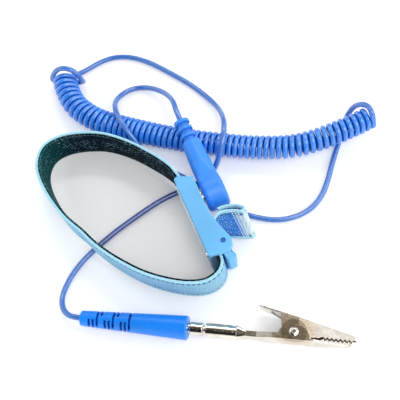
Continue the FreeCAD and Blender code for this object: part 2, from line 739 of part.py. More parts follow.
def coil_steps():
    """Places along the coil's line: point, direction, coil radius and turns so far.

    The turns keep one spacing on the inner side of the line's bends.
    """
    points = [vec(point) for point in COIL_LINE]
    line = [spline_point(points, index / COIL_STEPS) for index in range(COIL_STEPS + 1)]
    ways = []
    for index in range(COIL_STEPS + 1):
        way = line[min(index + 1, COIL_STEPS)] - line[max(index - 1, 0)]
        ways.append(way.normalize())
    distances = [0.0]
    for before, after in zip(line, line[1:]):
        distances.append(distances[-1] + (after - before).Length)
    steps = []
    turns = 0.0
    for index in range(COIL_STEPS + 1):
        radius = COIL_LEFT_RADIUS
        radius += (COIL_RIGHT_RADIUS - COIL_LEFT_RADIUS) * distances[index] / distances[-1]
        steps.append((line[index], ways[index], radius, turns))
        if index < COIL_STEPS:
            step = distances[index + 1] - distances[index]
            bend = ways[index].getAngle(ways[index + 1]) / step
            turns += step * (1 - radius * bend) / COIL_SPACING
    return steps


def coil_turn_count(steps):
    """Whole turns and the part turn that ends at the chosen angle."""
    part_turn = ((COIL_END_ANGLE - COIL_START_ANGLE) % 360) / 360
    return math.floor(steps[-1][3] - part_turn) + part_turn


def coil_point(steps, turn):
    """Place of the cord's middle after so many turns from the left end."""
    low, high = 0, len(steps) - 1
    while high - low > 1:
        middle = (low + high) // 2
        if steps[middle][3] <= turn:
            low = middle
        else:
            high = middle
    share = (turn - steps[low][3]) / (steps[high][3] - steps[low][3])
    point, way, radius = [a + (b - a) * share for a, b in zip(steps[low][:3], steps[high][:3])]
    side = way.cross(FreeCAD.Vector(0, 0, 1)).normalize()
    up = side.cross(way).normalize()
    angle = math.radians(COIL_START_ANGLE) + 2 * math.pi * turn
    return point + side * (radius * math.cos(angle)) + up * (radius * math.sin(angle))


def make_curly_cord():
    """One tube wound in half-turn biarcs, straight for its own diameter at each end."""
    steps = coil_steps()
    turns = coil_turn_count(steps)
    spans = math.ceil(2 * turns)

    def point_at(turn):
        return coil_point(steps, turn)

    edges, (start, start_way), (end, end_way) = wound_edges(point_at, turns, spans)
    left_end = start - start_way * WIRE_DIAMETER
    right_end = end + end_way * WIRE_DIAMETER
    edges.insert(0, Part.LineSegment(left_end, start).toShape())
    edges.append(Part.LineSegment(end, right_end).toShape())
    tube = swept(edges, left_end, start_way, WIRE_DIAMETER / 2)
    samples = [point_at(turns * index / (24 * spans)) for index in range(0, 24 * spans + 1, 2)]
    print("curly cord: %.2f turns, least gap to itself %.2f mm"
          % (turns, least_gap(samples, 12, WIRE_DIAMETER)))
    report_tube("curly cord", tube, WIRE_DIAMETER / 2)
    return tube, (left_end, start_way * -1), (right_end, end_way)


def lead(name, points, loop):
    """Tube along a lead's points; the corners in its loop stand at the list's start or end."""
    edges, radii = rounded_run(points)
    free = radii[loop:] if loop > 0 else radii[:loop]
    coiled = radii[:loop] if loop > 0 else radii[loop:]
    print("%s: bend radii on the run %s" % (name, " ".join("%.1f" % r for r in free)))
    print("%s: bend radii in its end loop %s" % (name, " ".join("%.1f" % r for r in coiled)))
    print("%s: least allowed on the run %.1f" % (name, LIMP_BEND * WIRE_DIAMETER))
    tube = swept(edges, points[0], points[1] - points[0], WIRE_DIAMETER / 2)
    length = sum(edge.Length for edge in edges)
    print("%s: length %.1f mm" % (name, length))
    report_tube(name, tube, WIRE_DIAMETER / 2)
    return tube


def make_connector_lead(coil_end):
    place, way = coil_end
    start, leaving = relief_exit()
    points = [start, start + leaving * RELIEF_LEAD_STRAIGHT]
    points += [vec(p) for p in CONNECTOR_LEAD + CONNECTOR_LEAD_LOOP]
    points += [place + way * LOOP_END_STRAIGHT, place]
    return lead("lead to the connector", points, -len(CONNECTOR_LEAD_LOOP) - 1)


def make_plug_lead(coil_start):
    place, way = coil_start
    end = in_plug_frame(-SLEEVE_LENGTH, 0, 0)
    before_end = in_plug_frame(-SLEEVE_LENGTH - PLUG_LEAD_STRAIGHT, 0, 0)
    points = [place, place + way * COIL_LEAD_STRAIGHT]
    points += [vec(p) for p in PLUG_LEAD_LOOP + PLUG_LEAD] + [before_end, end]
    return lead("lead to the plug", points, len(PLUG_LEAD_LOOP) + 1)


# Plug and clip, drawn in the plug's frame

def in_plug_frame(u, v, w):
    turn = math.radians(PLUG_TURN)
    x = PLUG_PLACE[0] + u * math.cos(turn) - v * math.sin(turn)
    y = PLUG_PLACE[1] + u * math.sin(turn) + v * math.cos(turn)
    return FreeCAD.Vector(x, y, PLUG_PLACE[2] + w)


def placed(shape):
    return moved(shape, PLUG_PLACE, (0, 0, 1), PLUG_TURN)


def sleeve_radius(u):
    share = (u + SLEEVE_LENGTH) / SLEEVE_LENGTH
    return SLEEVE_SMALL_RADIUS + (SLEEVE_LARGE_RADIUS - SLEEVE_SMALL_RADIUS) * share


def make_plug_sleeve():
    """Tapered sleeve; half-ring slots, turned from one to the next, let its cable end flex."""
    sleeve = turned([(-SLEEVE_LENGTH, 0), (-SLEEVE_LENGTH, SLEEVE_SMALL_RADIUS - 0.4),
                     (-SLEEVE_LENGTH + 0.4, SLEEVE_SMALL_RADIUS), (-0.5, SLEEVE_LARGE_RADIUS),
                     (0, SLEEVE_LARGE_RADIUS - 0.5), (0, 0)])
    cuts = [rod(PIN_STEM_RADIUS + PRESS_GAP, (-SLEEVE_BORE_LENGTH, 0, 0), (1, 0, 0))]
    for index in range(SLOT_COUNT):
        u = -SLEEVE_LENGTH + FIRST_SLOT + SLOT_SPACING * index
        start = SLOT_STARTS[index % len(SLOT_STARTS)]
        floor = sleeve_radius(u) - SLOT_DEPTH
        cuts.append(turned([(u - SLOT_WIDTH / 2, floor), (u + SLOT_WIDTH / 2, floor),
                            (u + SLOT_WIDTH / 2, floor + 3), (u - SLOT_WIDTH / 2, floor + 3)],
                           SLOT_SWEEP, start))
    return placed(sleeve.cut(cuts))


def cage_end():
    return PIN_REACH - PIN_TIP - RUNNING_GAP


def make_plug_pin():
    stem_end = PIN_STEP
    collar_end = stem_end + COLLAR_LENGTH
    tip = PIN_REACH - PIN_TIP
    profile = [(-SLEEVE_BORE_LENGTH + 0.5, 0), (-SLEEVE_BORE_LENGTH + 0.5, PIN_STEM_RADIUS),
               (0, PIN_STEM_RADIUS), (0, PIN_STEP_RADIUS), (stem_end, PIN_STEP_RADIUS),
               (stem_end + 0.3, COLLAR_RADIUS), (collar_end - 0.4, COLLAR_RADIUS),
               (collar_end, COLLAR_RADIUS - 0.4), (collar_end, PIN_CORE_RADIUS + CAGE_WALL),
               (CAGE_START - RUNNING_GAP, PIN_CORE_RADIUS + CAGE_WALL),
               (CAGE_START - RUNNING_GAP, PIN_CORE_RADIUS), (tip, PIN_CORE_RADIUS),
               (tip, PIN_CORE_RADIUS + CAGE_WALL), (PIN_REACH - 0.3, PIN_CORE_RADIUS + 0.1),
               (PIN_REACH, PIN_CORE_RADIUS - 0.4), (PIN_REACH, 0)]
    return placed(turned(profile))


def make_spring_cage():
    """Four bowed leaves between two rings, loose on the pin's core."""
    inner = PIN_CORE_RADIUS + RUNNING_GAP
    outer = inner + CAGE_WALL
    end = cage_end()
    rings = [turned([(a, inner), (a + CAGE_RING, inner), (a + CAGE_RING, outer), (a, outer)])
             for a in (CAGE_START, end - CAGE_RING)]
    start, stop = CAGE_START + CAGE_RING - 0.2, end - CAGE_RING + 0.2
    middle = (start + stop) / 2
    outer_arc = Part.Arc(vec((start, outer, 0)), vec((middle, CAGE_BULGE, 0)), vec((stop, outer, 0)))
    inner_arc = Part.Arc(vec((stop, inner, 0)), vec((middle, CAGE_BULGE - CAGE_WALL, 0)),
                         vec((start, inner, 0)))
    outline = Part.Wire([outer_arc.toShape(), Part.LineSegment(vec((stop, outer, 0)),
                         vec((stop, inner, 0))).toShape(), inner_arc.toShape(),
                         Part.LineSegment(vec((start, inner, 0)), vec((start, outer, 0))).toShape()])
    leaves = []
    for index in range(CAGE_LEAVES):
        face = Part.Face(outline)
        face.rotate(vec((0, 0, 0)), vec((1, 0, 0)), 360 / CAGE_LEAVES * index)
        leaves.append(face.revolve(vec((0, 0, 0)), vec((1, 0, 0)), LEAF_SWEEP))
    return placed(rings[0].fuse([rings[1]] + leaves).removeSplitter())


def across(outline, half_width):
    """Outline in u and v, drawn through both sides of the clip."""
    return prism(outline, -half_width, half_width)


def plan(outline):
    """Half outline of (u, half width), mirrored and drawn up through the clip."""
    low = -CLIP_REACH / 3
    points = [FreeCAD.Vector(u, low, w) for u, w in outline]
    points += [FreeCAD.Vector(u, low, -w) for u, w in reversed(outline)]
    face = Part.Face(Part.makePolygon(points + points[:1]))
    return face.extrude(FreeCAD.Vector(0, CLIP_REACH, 0))


def inset(outline, wall):
    return [(u, w - wall) for u, w in outline]


def toothed_line(start, level, height):
    """Zigzag from start along u: a tooth's root on the level, its point off it by height."""
    points = []
    for index in range(TOOTH_COUNT):
        u = start + TOOTH_PITCH * index
        points.append((u, level))
        points.append((u + TOOTH_PITCH * 0.75, level + height))
    points.append((start + TOOTH_PITCH * TOOTH_COUNT, level))
    return points


def rivet_hole(gap):
    u, v = RIVET_PLACE
    return rod(RIVET_RADIUS + gap, (u, v, -8), (u, v, 8))


def base_line():
    """Outer face of the base jaw's plate."""
    return RIVET_PLACE[1] - 2.8


def ear_outline(inset_by=0.0):
    u, _ = RIVET_PLACE
    low = base_line() + SHEET
    radius = EAR_RADIUS - inset_by
    rise = EAR_RISE - inset_by
    points = [(u - radius, base_line())]
    for step in range(13):
        angle = math.pi - math.pi * step / 12
        points.append((u + radius * math.cos(angle), low + rise * math.sin(angle)))
    points.append((u + radius, base_line()))
    return points


def ears():
    """Both ears as one block, with chamfered rims."""
    sections = []
    for inset_by, w in ((EAR_CHAMFER, -EAR_HALF_WIDTH), (0.0, EAR_CHAMFER - EAR_HALF_WIDTH),
                        (0.0, EAR_HALF_WIDTH - EAR_CHAMFER), (EAR_CHAMFER, EAR_HALF_WIDTH)):
        points = [FreeCAD.Vector(u, v, w) for u, v in ear_outline(inset_by)]
        sections.append(Part.makePolygon(points + points[:1]))
    return Part.makeLoft(sections, True, True)


def teeth_start():
    return LOWER_TIP - 0.4 - TOOTH_PITCH * TOOTH_COUNT


def make_base_jaw():
    """Rolled socket tube, crimped neck and the channel-shaped jaw with its two ears."""
    tube_end = TUBE_START + TUBE_LENGTH
    outer = TUBE_BORE_RADIUS + TUBE_WALL
    tube = turned([(TUBE_START, TUBE_BORE_RADIUS), (TUBE_START, outer),
                   (tube_end, outer), (tube_end, TUBE_BORE_RADIUS)])
    seam = box((TUBE_START - 1, tube_end - 2.5), (-TUBE_SEAM / 2, TUBE_SEAM / 2), (0, outer + 1))
    seam.rotate(vec((0, 0, 0)), vec((1, 0, 0)), -50)
    tube = tube.cut(seam)
    base = base_line()
    rim = base + 2.0
    neck_end = tube_end + NECK_LENGTH
    half_neck = NECK_HALF_WIDTH
    neck = Part.makeLoft([
        channel_section(tube_end - 0.6, -outer, outer, outer),
        channel_section(neck_end, base, rim, half_neck),
    ], True, True)
    hollow = Part.makeLoft([
        channel_section(tube_end - 0.7, -outer + SHEET, outer - SHEET, outer - SHEET),
        channel_section(neck_end + 0.1, base + SHEET, rim + 0.6, half_neck - SHEET),
    ], True, True)
    neck = neck.cut(hollow)
    u = RIVET_PLACE[0]
    widths = [(neck_end - 0.2, half_neck), (u - NARROW_BEHIND_RIVET, half_neck),
              (u - WIDE_BEHIND_RIVET, EAR_HALF_WIDTH), (u + WIDE_BEFORE_RIVET, EAR_HALF_WIDTH),
              (teeth_start(), EAR_HALF_WIDTH - 0.9), (LOWER_TIP, 1.7)]
    root = JAW_LINE - TOOTH_HEIGHT
    side = [(neck_end - 0.2, base), (LOWER_TIP - 0.6, base), (LOWER_TIP, base + 0.4),
            (LOWER_TIP, root)]
    side += list(reversed(toothed_line(teeth_start(), root, TOOTH_HEIGHT)))
    side += [(u + 4.0, root + 0.3), (u - 4.0, rim), (neck_end - 0.2, rim)]
    channel = across(side, 8).common(plan(widths)).fuse(ears())
    open_side = [(u, v) for u, v in ((neck_end - 1, base + SHEET), (LOWER_TIP + 1, base + SHEET),
                                     (LOWER_TIP + 1, 9), (neck_end - 1, 9))]
    channel = channel.cut(across(open_side, 8).common(plan(inset(
        [(neck_end - 1, half_neck)] + widths[1:-1] + [(LOWER_TIP + 1, 1.6)], SHEET))))
    jaw = tube.fuse([neck, channel]).cut(rivet_hole(PRESS_GAP))
    return placed(jaw.removeSplitter())


def channel_section(u, low, high, half_width):
    """Section across the neck: a rectangle with corner arcs."""
    corner = min(half_width, (high - low) / 2) * 0.6
    bulge = corner * (1 - math.sqrt(0.5))
    edges = []
    corners = [(half_width, high), (-half_width, high), (-half_width, low), (half_width, low)]
    ways = [(1, 1), (-1, 1), (-1, -1), (1, -1)]
    trios = []
    for (w, v), (sw, sv) in zip(corners, ways):
        first = (u, v - sv * corner, w)
        middle = (u, v - sv * bulge, w - sw * bulge)
        last = (u, v, w - sw * corner)
        trios.append((first, middle, last) if sw == sv else (last, middle, first))
    for index, trio in enumerate(trios):
        edges.append(Part.Arc(vec(trio[0]), vec(trio[1]), vec(trio[2])).toShape())
        edges.append(Part.LineSegment(vec(trio[2]), vec(trios[(index + 1) % 4][0])).toShape())
    return Part.Wire(edges)


def upper_line(u, drop=0.0):
    """Outer face of the upper jaw's plate, or a line below it."""
    share = (u - HANDLE_TIP[0]) / (UPPER_NOSE[0] - HANDLE_TIP[0])
    return HANDLE_TIP[1] + (UPPER_NOSE[1] - HANDLE_TIP[1]) * share - drop


def make_upper_jaw():
    """Channel-shaped jaw whose plate runs on behind the rivet as the handle."""
    u, v = RIVET_PLACE
    rear = u - 5.2
    lug = RIVET_RADIUS + 1.0
    widest = EAR_HALF_WIDTH - SHEET - JAW_GAP
    root = JAW_LINE + TOOTH_HEIGHT + 0.1
    start = teeth_start() + TOOTH_PITCH * 0.5
    side = [HANDLE_TIP, UPPER_NOSE, (UPPER_TIP - 0.3, 0.6)]
    side += list(reversed(toothed_line(start, root, -TOOTH_HEIGHT)))
    side += [(start - 1.5, JAW_LINE + 0.3), (u + 3.0, v - lug * 0.62)]
    for degrees in range(300, 220, -20):
        angle = math.radians(degrees)
        side.append((u + lug * math.cos(angle), v + lug * math.sin(angle)))
    side += [(u - lug, v), (rear + 0.6, v + 2.0), (rear, upper_line(rear, SHEET + 0.1)),
             (HANDLE_TIP[0] + 0.1, upper_line(HANDLE_TIP[0], SHEET))]
    front = u + EAR_RADIUS / 4
    widths = [(HANDLE_TIP[0], HANDLE_HALF_WIDTH - 0.7), (HANDLE_TIP[0] + 1.2, HANDLE_HALF_WIDTH),
              (rear, widest), (front, widest), (UPPER_TIP - 0.8, 1.6), (UPPER_TIP, 1.1)]
    solid = across(side, 8).common(plan(widths))
    inside = [(rear - 3, upper_line(rear - 3, SHEET)), (UPPER_TIP + 1, upper_line(UPPER_TIP + 1, SHEET)),
              (UPPER_TIP + 1, -4), (rear - 3, -4)]
    inner_widths = [(rear - 3, widest - SHEET), (front, widest - SHEET), (UPPER_TIP - 0.8, 1.1),
                    (UPPER_TIP - SHEET, 0.6)]
    jaw = solid.cut(across(inside, 8).common(plan(inner_widths)))
    ribs = []
    for index in range(HANDLE_RIBS):
        start = HANDLE_TIP[0] + 0.5 + HANDLE_RIB_SPACING * index
        end = start + HANDLE_RIB_SPACING / 2
        rib = [(start, upper_line(start, SHEET / 2)), (start, upper_line(start) + HANDLE_RIB_HEIGHT),
               (end, upper_line(end) + HANDLE_RIB_HEIGHT), (end, upper_line(end, SHEET / 2))]
        ribs.append(across(rib, HANDLE_HALF_WIDTH - 0.9))
    return placed(jaw.fuse(ribs).cut(rivet_hole(RUNNING_GAP)).removeSplitter())


def make_jaw_rivet():
    """Tubular rivet through both ears, with a head outside each."""
    u, v = RIVET_PLACE
    half = EAR_HALF_WIDTH
    top = half + CLIP_RIVET_HEAD
    head = CLIP_RIVET_HEAD_RADIUS
    lip = RIVET_BORE + 0.25
    profile = [(-top, RIVET_BORE), (-top, lip), (-half - 0.08, head), (-half, head),
               (-half, RIVET_RADIUS), (half, RIVET_RADIUS), (half, head), (half + 0.08, head),
               (top, lip), (top, RIVET_BORE)]
    return placed(moved(turned(profile), (u, v, 0), (0, 1, 0), -90))


def make_jaw_spring():
    """Torsion spring round the rivet: one leg under the handle, one on the base jaw."""
    u, v = RIVET_PLACE
    radius = JAW_SPRING_RADIUS
    wire = JAW_SPRING_WIRE
    clear = wire / 2 + RUNNING_GAP
    low_leg = (u - SPRING_LEG_REACH, base_line() + SHEET + clear)
    high_place = u - SPRING_LEG_REACH + 0.6
    high_leg = (high_place, upper_line(high_place, SHEET + clear + 0.1))

    def touch_angle(point, side):
        across_u, across_v = point[0] - u, point[1] - v
        distance = math.hypot(across_u, across_v)
        return math.atan2(across_v, across_u) + side * math.acos(radius / distance)

    start = touch_angle(low_leg, 1)
    end = touch_angle(high_leg, -1)
    sweep = (end - start) % (2 * math.pi) + 2 * math.pi * JAW_SPRING_TURNS
    turns = sweep / (2 * math.pi)
    rise = JAW_SPRING_PITCH * turns

    def point_at(turn):
        angle = start + 2 * math.pi * turn
        w = -rise / 2 + JAW_SPRING_PITCH * turn
        return FreeCAD.Vector(u + radius * math.cos(angle), v + radius * math.sin(angle), w)

    edges, (first, first_way), (last, last_way) = wound_edges(point_at, turns, math.ceil(2 * turns))
    low_reach = math.dist(low_leg, (first.x, first.y))
    high_reach = math.dist(high_leg, (last.x, last.y))
    low_end = first - first_way * low_reach
    high_end = last + last_way * high_reach
    edges.insert(0, Part.LineSegment(low_end, first).toShape())
    edges.append(Part.LineSegment(last, high_end).toShape())
    samples = [point_at(turns * index / 200) for index in range(201)]
    print("jaw spring: %.2f turns, least gap to itself %.2f mm" % (turns, least_gap(samples, 24, wire)))
    return placed(swept(edges, low_end, first_way, wire / 2))


def build():
    weave, lining = make_band()
    save(weave, "elastic_band")
    save(lining, "conductive_lining")
    save(make_buckle(), "buckle_body")
    save(make_contact_plate(), "contact_plate")
    save(make_lever(), "cam_lever")
    save(make_lever_pin(), "lever_pin")
    save(make_stud(), "snap_stud")
    save(make_connector_housing(), "connector_housing")
    save(make_snap_socket(), "snap_socket")
    save(make_socket_spring(), "socket_spring")
    save(make_resistor(), "safety_resistor")
    front, rear = make_resistor_wires()
    save(front, "resistor_front_wire")
    save(rear, "resistor_rear_wire")
    save(make_strain_relief(), "strain_relief")
    coil, coil_start, coil_end = make_curly_cord()
    save(coil, "curly_cord")
    save(make_connector_lead(coil_end), "lead_to_connector")
    save(make_plug_lead(coil_start), "lead_to_plug")
    save(make_plug_sleeve(), "plug_sleeve")
    save(make_plug_pin(), "plug_pin")
    save(make_spring_cage(), "pin_spring_cage")
    save(make_base_jaw(), "clip_base_jaw")
    save(make_upper_jaw(), "clip_upper_jaw")
    save(make_jaw_rivet(), "jaw_rivet")
    save(make_jaw_spring(), "jaw_spring")


build()
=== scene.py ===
"""Looks of the grounding wrist strap: woven band, buckle, snap connector, curly cord, plug and clip.

The object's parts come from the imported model, in metres, in the same frame. The woven band, its
stitches and the cord are made here, and every part gets the finish of its real material.
"""
import math

import bmesh
import bpy
from bpy.props import FloatProperty, FloatVectorProperty, IntProperty, PointerProperty
from mathutils import Matrix, Vector


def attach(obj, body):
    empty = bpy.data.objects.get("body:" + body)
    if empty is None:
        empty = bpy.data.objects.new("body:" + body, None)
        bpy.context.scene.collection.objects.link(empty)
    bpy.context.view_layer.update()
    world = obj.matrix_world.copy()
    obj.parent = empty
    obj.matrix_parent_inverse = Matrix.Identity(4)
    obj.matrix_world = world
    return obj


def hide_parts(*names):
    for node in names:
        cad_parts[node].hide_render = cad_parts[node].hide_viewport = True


bl_info = {
    "name": "Grounding wrist strap",
    "version": (1, 0, 0),
    "blender": (4, 5, 0),
    "location": "View3D > Sidebar > Strap",
    "description": "Dresses a grounding wrist strap: woven band, curly cord, plug and clip",
    "category": "Object",
}

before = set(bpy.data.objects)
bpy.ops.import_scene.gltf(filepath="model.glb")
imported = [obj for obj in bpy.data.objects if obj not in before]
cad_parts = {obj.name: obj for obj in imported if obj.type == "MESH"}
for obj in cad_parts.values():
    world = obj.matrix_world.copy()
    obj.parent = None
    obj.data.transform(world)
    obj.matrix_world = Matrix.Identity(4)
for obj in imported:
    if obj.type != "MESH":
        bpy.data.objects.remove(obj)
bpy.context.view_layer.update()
MM = 0.001


# Colours and nodes

BAND_FACE = "#9EDDF9"
BAND_GROOVE = "#68AFDB"
BAND_PALE = "#D3EFF8"
BAND_RIM = "#BDEAF4"
BAND_DASH = "#2E6F9E"
# Painted shade: the tail's face, darker and bluer than the band's
TAIL_PAINTED_SHADE_FACE = "#2F8EEA"
TAIL_PAINTED_SHADE_GROOVE = "#2467B4"
HEM = "#EAFBFC"
HEM_DOT = "#5C9FB4"
# Painted reflection of a dark brown room, round the clip's pivot
PIVOT_REFLECTION_PALE = "#F6E2CA"
PIVOT_REFLECTION_MID = "#C8B69E"
PIVOT_REFLECTION_DARK = "#8C7A64"
# Painted shade in the rivet's hollow middle
HOLLOW_PAINTED_SHADE = "#1C1712"
LINING_DARK = "#00060B"
LINING_GREEN = "#052A38"
LINING_TEAL = "#14686A"
LINING_FLECK = "#9CC3DC"
LEAD_DULL = "#2E70C4"
# Painted shade on the plug's lead inside the wrist loop
LEAD_PAINTED_SHADE = "#1C449A"

# Where one finish or painted light turns into the next: distances in m, or shares of the wrist loop or
# the cord
PIVOT_REFLECTION_INNER = (4.4 * MM, 5.0 * MM)
PIVOT_REFLECTION_OUTER = (6.2 * MM, 8.5 * MM)
HOLLOW_PAINTED_SHADE_REACH = (0.4 * MM, 0.6 * MM)
HALF_BAND = 7.5 * MM
DASH_ROW = (4.8 * MM, 5.3 * MM)
SELVAGE = (6.0 * MM, 6.3 * MM)
HEM_REACH = (4.8 * MM, 2.2 * MM)
TEAL_BEND = (-34.0 * MM, -47.0 * MM)
BAND_PAINTED_SHADE_REACH = (1.1, 0.8)
LEAD_BLEND = 0.002

# The wrist loop as an ellipse on the floor, in mm and degrees, where shade is painted inside it
LOOP_MIDDLE = (-22.9, 17.7, 0.0)
LOOP_REACH = (20.9, 44.7, 1000.0)
LOOP_TURN = 20.0


def linear(hex_colour):
    """sRGB hex to the linear numbers that the shaders take."""
    digits = hex_colour.lstrip("#")
    result = []
    for start in (0, 2, 4):
        value = int(digits[start:start + 2], 16) / 255
        if value <= 0.04045:
            result.append(value / 12.92)
        else:
            result.append(((value + 0.055) / 1.055) ** 2.4)
    return (*result, 1.0)


def scaled(colour, shares):
    """Linear colour with each channel multiplied by its share."""
    return (*[channel * share for channel, share in zip(colour, shares)], 1.0)


def give(tree, made, inputs):
    """Sets a node's inputs; one that is another node's output is linked."""
    for key, value in inputs.items():
        if isinstance(value, bpy.types.NodeSocket):
            tree.links.new(value, made.inputs[key])
        else:
            made.inputs[key].default_value = value


def node(tree, kind, inputs=None, **settings):
    """Adds a node with its settings and inputs."""
    made = tree.nodes.new(kind)
    for name, value in settings.items():
        setattr(made, name, value)
    give(tree, made, inputs or {})
    return made


def shader(name):
    """Empty material with its Principled shader."""
    material = bpy.data.materials.new(name)
    material.use_nodes = True
    tree = material.node_tree
    surface = tree.nodes["Principled BSDF"]
    return material, tree, surface


def maths(tree, operation, *values):
    """Result of a Math node."""
    return node(tree, "ShaderNodeMath", dict(enumerate(values)), operation=operation).outputs["Value"]


def vectors(tree, operation, *values):
    """Outputs of a Vector Math node."""
    return node(tree, "ShaderNodeVectorMath", dict(enumerate(values)), operation=operation).outputs


def per_mm(size):
    """Texture scale in 1/m for a feature of so many millimetres."""
    return 1000.0 / size


def noise(tree, place, size_mm, detail):
    """Noise with features of so many millimetres."""
    made = node(tree, "ShaderNodeTexNoise", {
        "Vector": place, "Scale": per_mm(size_mm), "Detail": detail})
    return made.outputs["Fac"]


def mapped(tree, place, scale, turn=0.0):
    """Place on a texture, turned by so many degrees and scaled."""
    made = node(tree, "ShaderNodeMapping", {
        "Vector": place, "Rotation": (0.0, 0.0, math.radians(turn)), "Scale": scale},
        vector_type="POINT")
    return made.outputs["Vector"]


def bricks(tree, place, tones, gap, blur, bias=0.0):
    """Rows of cells in two tones with black gaps, each row shifted by half a cell."""
    first, second = [(tone, tone, tone, 1.0) for tone in tones]
    made = node(tree, "ShaderNodeTexBrick", {
        "Vector": place, "Color1": first, "Color2": second, "Mortar": (0, 0, 0, 1), "Scale": 1.0,
        "Mortar Size": gap, "Mortar Smooth": blur, "Bias": bias, "Brick Width": 1.0, "Row Height": 1.0})
    return made.outputs["Color"]


def ramp(tree, factor, stops):
    """Colour ramp from pairs of a position and a colour, in hex or already linear."""
    made = node(tree, "ShaderNodeValToRGB", {"Fac": factor})
    elements = made.color_ramp.elements
    while len(elements) < len(stops):
        elements.new(0.5)
    for element, (position, colour) in zip(elements, stops):
        element.position = position
        element.color = linear(colour) if isinstance(colour, str) else colour
    return made.outputs["Color"]


def blended(tree, share, first, second):
    """First colour turning into the second one; a colour is hex, linear or a node's output."""
    colours = [linear(colour) if isinstance(colour, str) else colour for colour in (first, second)]
    made = node(tree, "ShaderNodeMix", {"Factor": share, "A": colours[0], "B": colours[1]},
                data_type="RGBA")
    return made.outputs["Result"]


def between(tree, value, start, end, low=0.0, high=1.0):
    """Runs from low to high while the value goes from start to end."""
    made = node(tree, "ShaderNodeMapRange", {
        "Value": value, "From Min": start, "From Max": end, "To Min": low, "To Max": high})
    return made.outputs["Result"]


def bump(tree, height, depth_mm, edge_mm=0.0):
    """Relief from a height, on edges that catch the light as if rounded by so many millimetres."""
    made = node(tree, "ShaderNodeBump", {"Height": height, "Strength": 1.0, "Distance": depth_mm * MM})
    if edge_mm:
        edge = node(tree, "ShaderNodeBevel", {"Radius": edge_mm * MM}, samples=6)
        tree.links.new(edge.outputs["Normal"], made.inputs["Normal"])
    return made.outputs["Normal"]


def object_coordinates(tree):
    """Place on the object, in m."""
    return node(tree, "ShaderNodeTexCoord").outputs["Object"]


def openness(tree, reach_mm):
    """One on open faces, falling towards zero in slots and between curls, where shade collects."""
    made = node(tree, "ShaderNodeAmbientOcclusion", {"Distance": reach_mm * MM}, samples=8,
                only_local=True)
    return made.outputs["AO"]


def from_loop(tree):
    """Distance from the middle of the wrist loop, which is one at its band."""
    loop = node(tree, "ShaderNodeMapping", {
        "Vector": object_coordinates(tree), "Location": tuple(Vector(LOOP_MIDDLE) * MM),
        "Rotation": (0.0, 0.0, math.radians(LOOP_TURN)), "Scale": tuple(Vector(LOOP_REACH) * MM)},
        vector_type="TEXTURE")
    return vectors(tree, "LENGTH", loop.outputs["Vector"])["Value"]


# Materials

def moulded_plastic(name, colour, roughness, grain_mm, painted_shade_until=0.5):
    """Injection-moulded plastic: even colour with a cloudy drift, fine spark-eroded grain, soft gloss.

    Where less than painted_shade_until of the view out is open, its colour deepens as painted shade and
    its gloss goes.
    """
    material, tree, surface = shader(name)
    place = object_coordinates(tree)
    tint = ramp(tree, noise(tree, place, 14.0, 2.0), [
        (0.3, scaled(colour, (0.86, 0.86, 0.86))), (0.7, tuple(colour))])
    clear = openness(tree, 1.6)
    # Painted shade: the colour deepens in slots and corners, where little of the view out is open
    painted_shade_colour = scaled(colour, (0.1, 0.2, 0.42))
    grain = noise(tree, place, grain_mm, 3.0)
    give(tree, surface, {
        "Base Color": blended(tree, between(tree, clear, 0.2, painted_shade_until), painted_shade_colour, tint),
        "Roughness": between(tree, grain, 0.3, 0.7, roughness - 0.05, roughness + 0.07),
        "Normal": bump(tree, grain, 0.02, 0.25),
        "Specular IOR Level": between(tree, clear, 0.3, 0.7, 0.0, 0.5),
        "IOR": 1.5, "Subsurface Weight": 0.06, "Subsurface Radius": (0.0006, 0.0010, 0.0020),
        "Subsurface Scale": 1.0})
    return material


def plated_metal(name, colour, dark, roughness, mark_mm, stretch=(1.0, 1.0, 1.0), turn=0.0, pivot=None,
                 hollow=None):
    """Metal with a bright finish: fine drawing or rolling marks along one way and a slight tarnish.

    Round a pivot, given in mm, the plating is tinted brown, darkest nearest it: painted reflection of a
    dark brown room in the ears. A rivet's hollow middle, also in mm, is painted dark as shade.
    """
    material, tree, surface = shader(name)
    place = object_coordinates(tree)
    marks = noise(tree, mapped(tree, place, stretch, -turn), mark_mm, 4.0)
    tint = ramp(tree, noise(tree, place, 5.0, 3.0), [(0.35, dark), (0.6, colour)])
    if pivot is not None:
        away = vectors(tree, "DISTANCE", place, tuple(pivot * MM))["Value"]
        # Painted reflection: brown round the pivot, darkest nearest it
        inner_pivot_reflection = ramp(tree, marks, [(0.3, PIVOT_REFLECTION_DARK), (0.75, PIVOT_REFLECTION_MID)])
        pivot_reflection = ramp(tree, marks, [(0.3, PIVOT_REFLECTION_MID), (0.7, PIVOT_REFLECTION_PALE)])
        pivot_reflection = blended(tree, between(tree, away, *PIVOT_REFLECTION_INNER), inner_pivot_reflection, pivot_reflection)
        tint = blended(tree, between(tree, away, *PIVOT_REFLECTION_OUTER), pivot_reflection, tint)
    # Painted shade: the rivet's hollow middle is painted dark
    if hollow is not None:
        beside = vectors(tree, "SUBTRACT", place, tuple(hollow * MM))["Vector"]
        flat = vectors(tree, "MULTIPLY", beside, (1.0, 1.0, 0.0))["Vector"]
        from_axis = vectors(tree, "LENGTH", flat)["Value"]
        tint = blended(tree, between(tree, from_axis, *HOLLOW_PAINTED_SHADE_REACH), HOLLOW_PAINTED_SHADE, tint)
    give(tree, surface, {
        "Base Color": tint,
        "Roughness": between(tree, marks, 0.3, 0.7, max(roughness - 0.06, 0.02), roughness + 0.1),
        "Normal": bump(tree, marks, 0.006, 0.2), "Metallic": 1.0})
    return material


def yarn_dots(tree, uv, spacing_mm, bias):
    """Small dots where one yarn crosses over another, in diagonal rows, some brighter than others."""
    place = mapped(tree, uv, (per_mm(spacing_mm), per_mm(spacing_mm), 1.0), 38.0)
    return bricks(tree, place, (0, 1), 0.3, 0.4, bias)


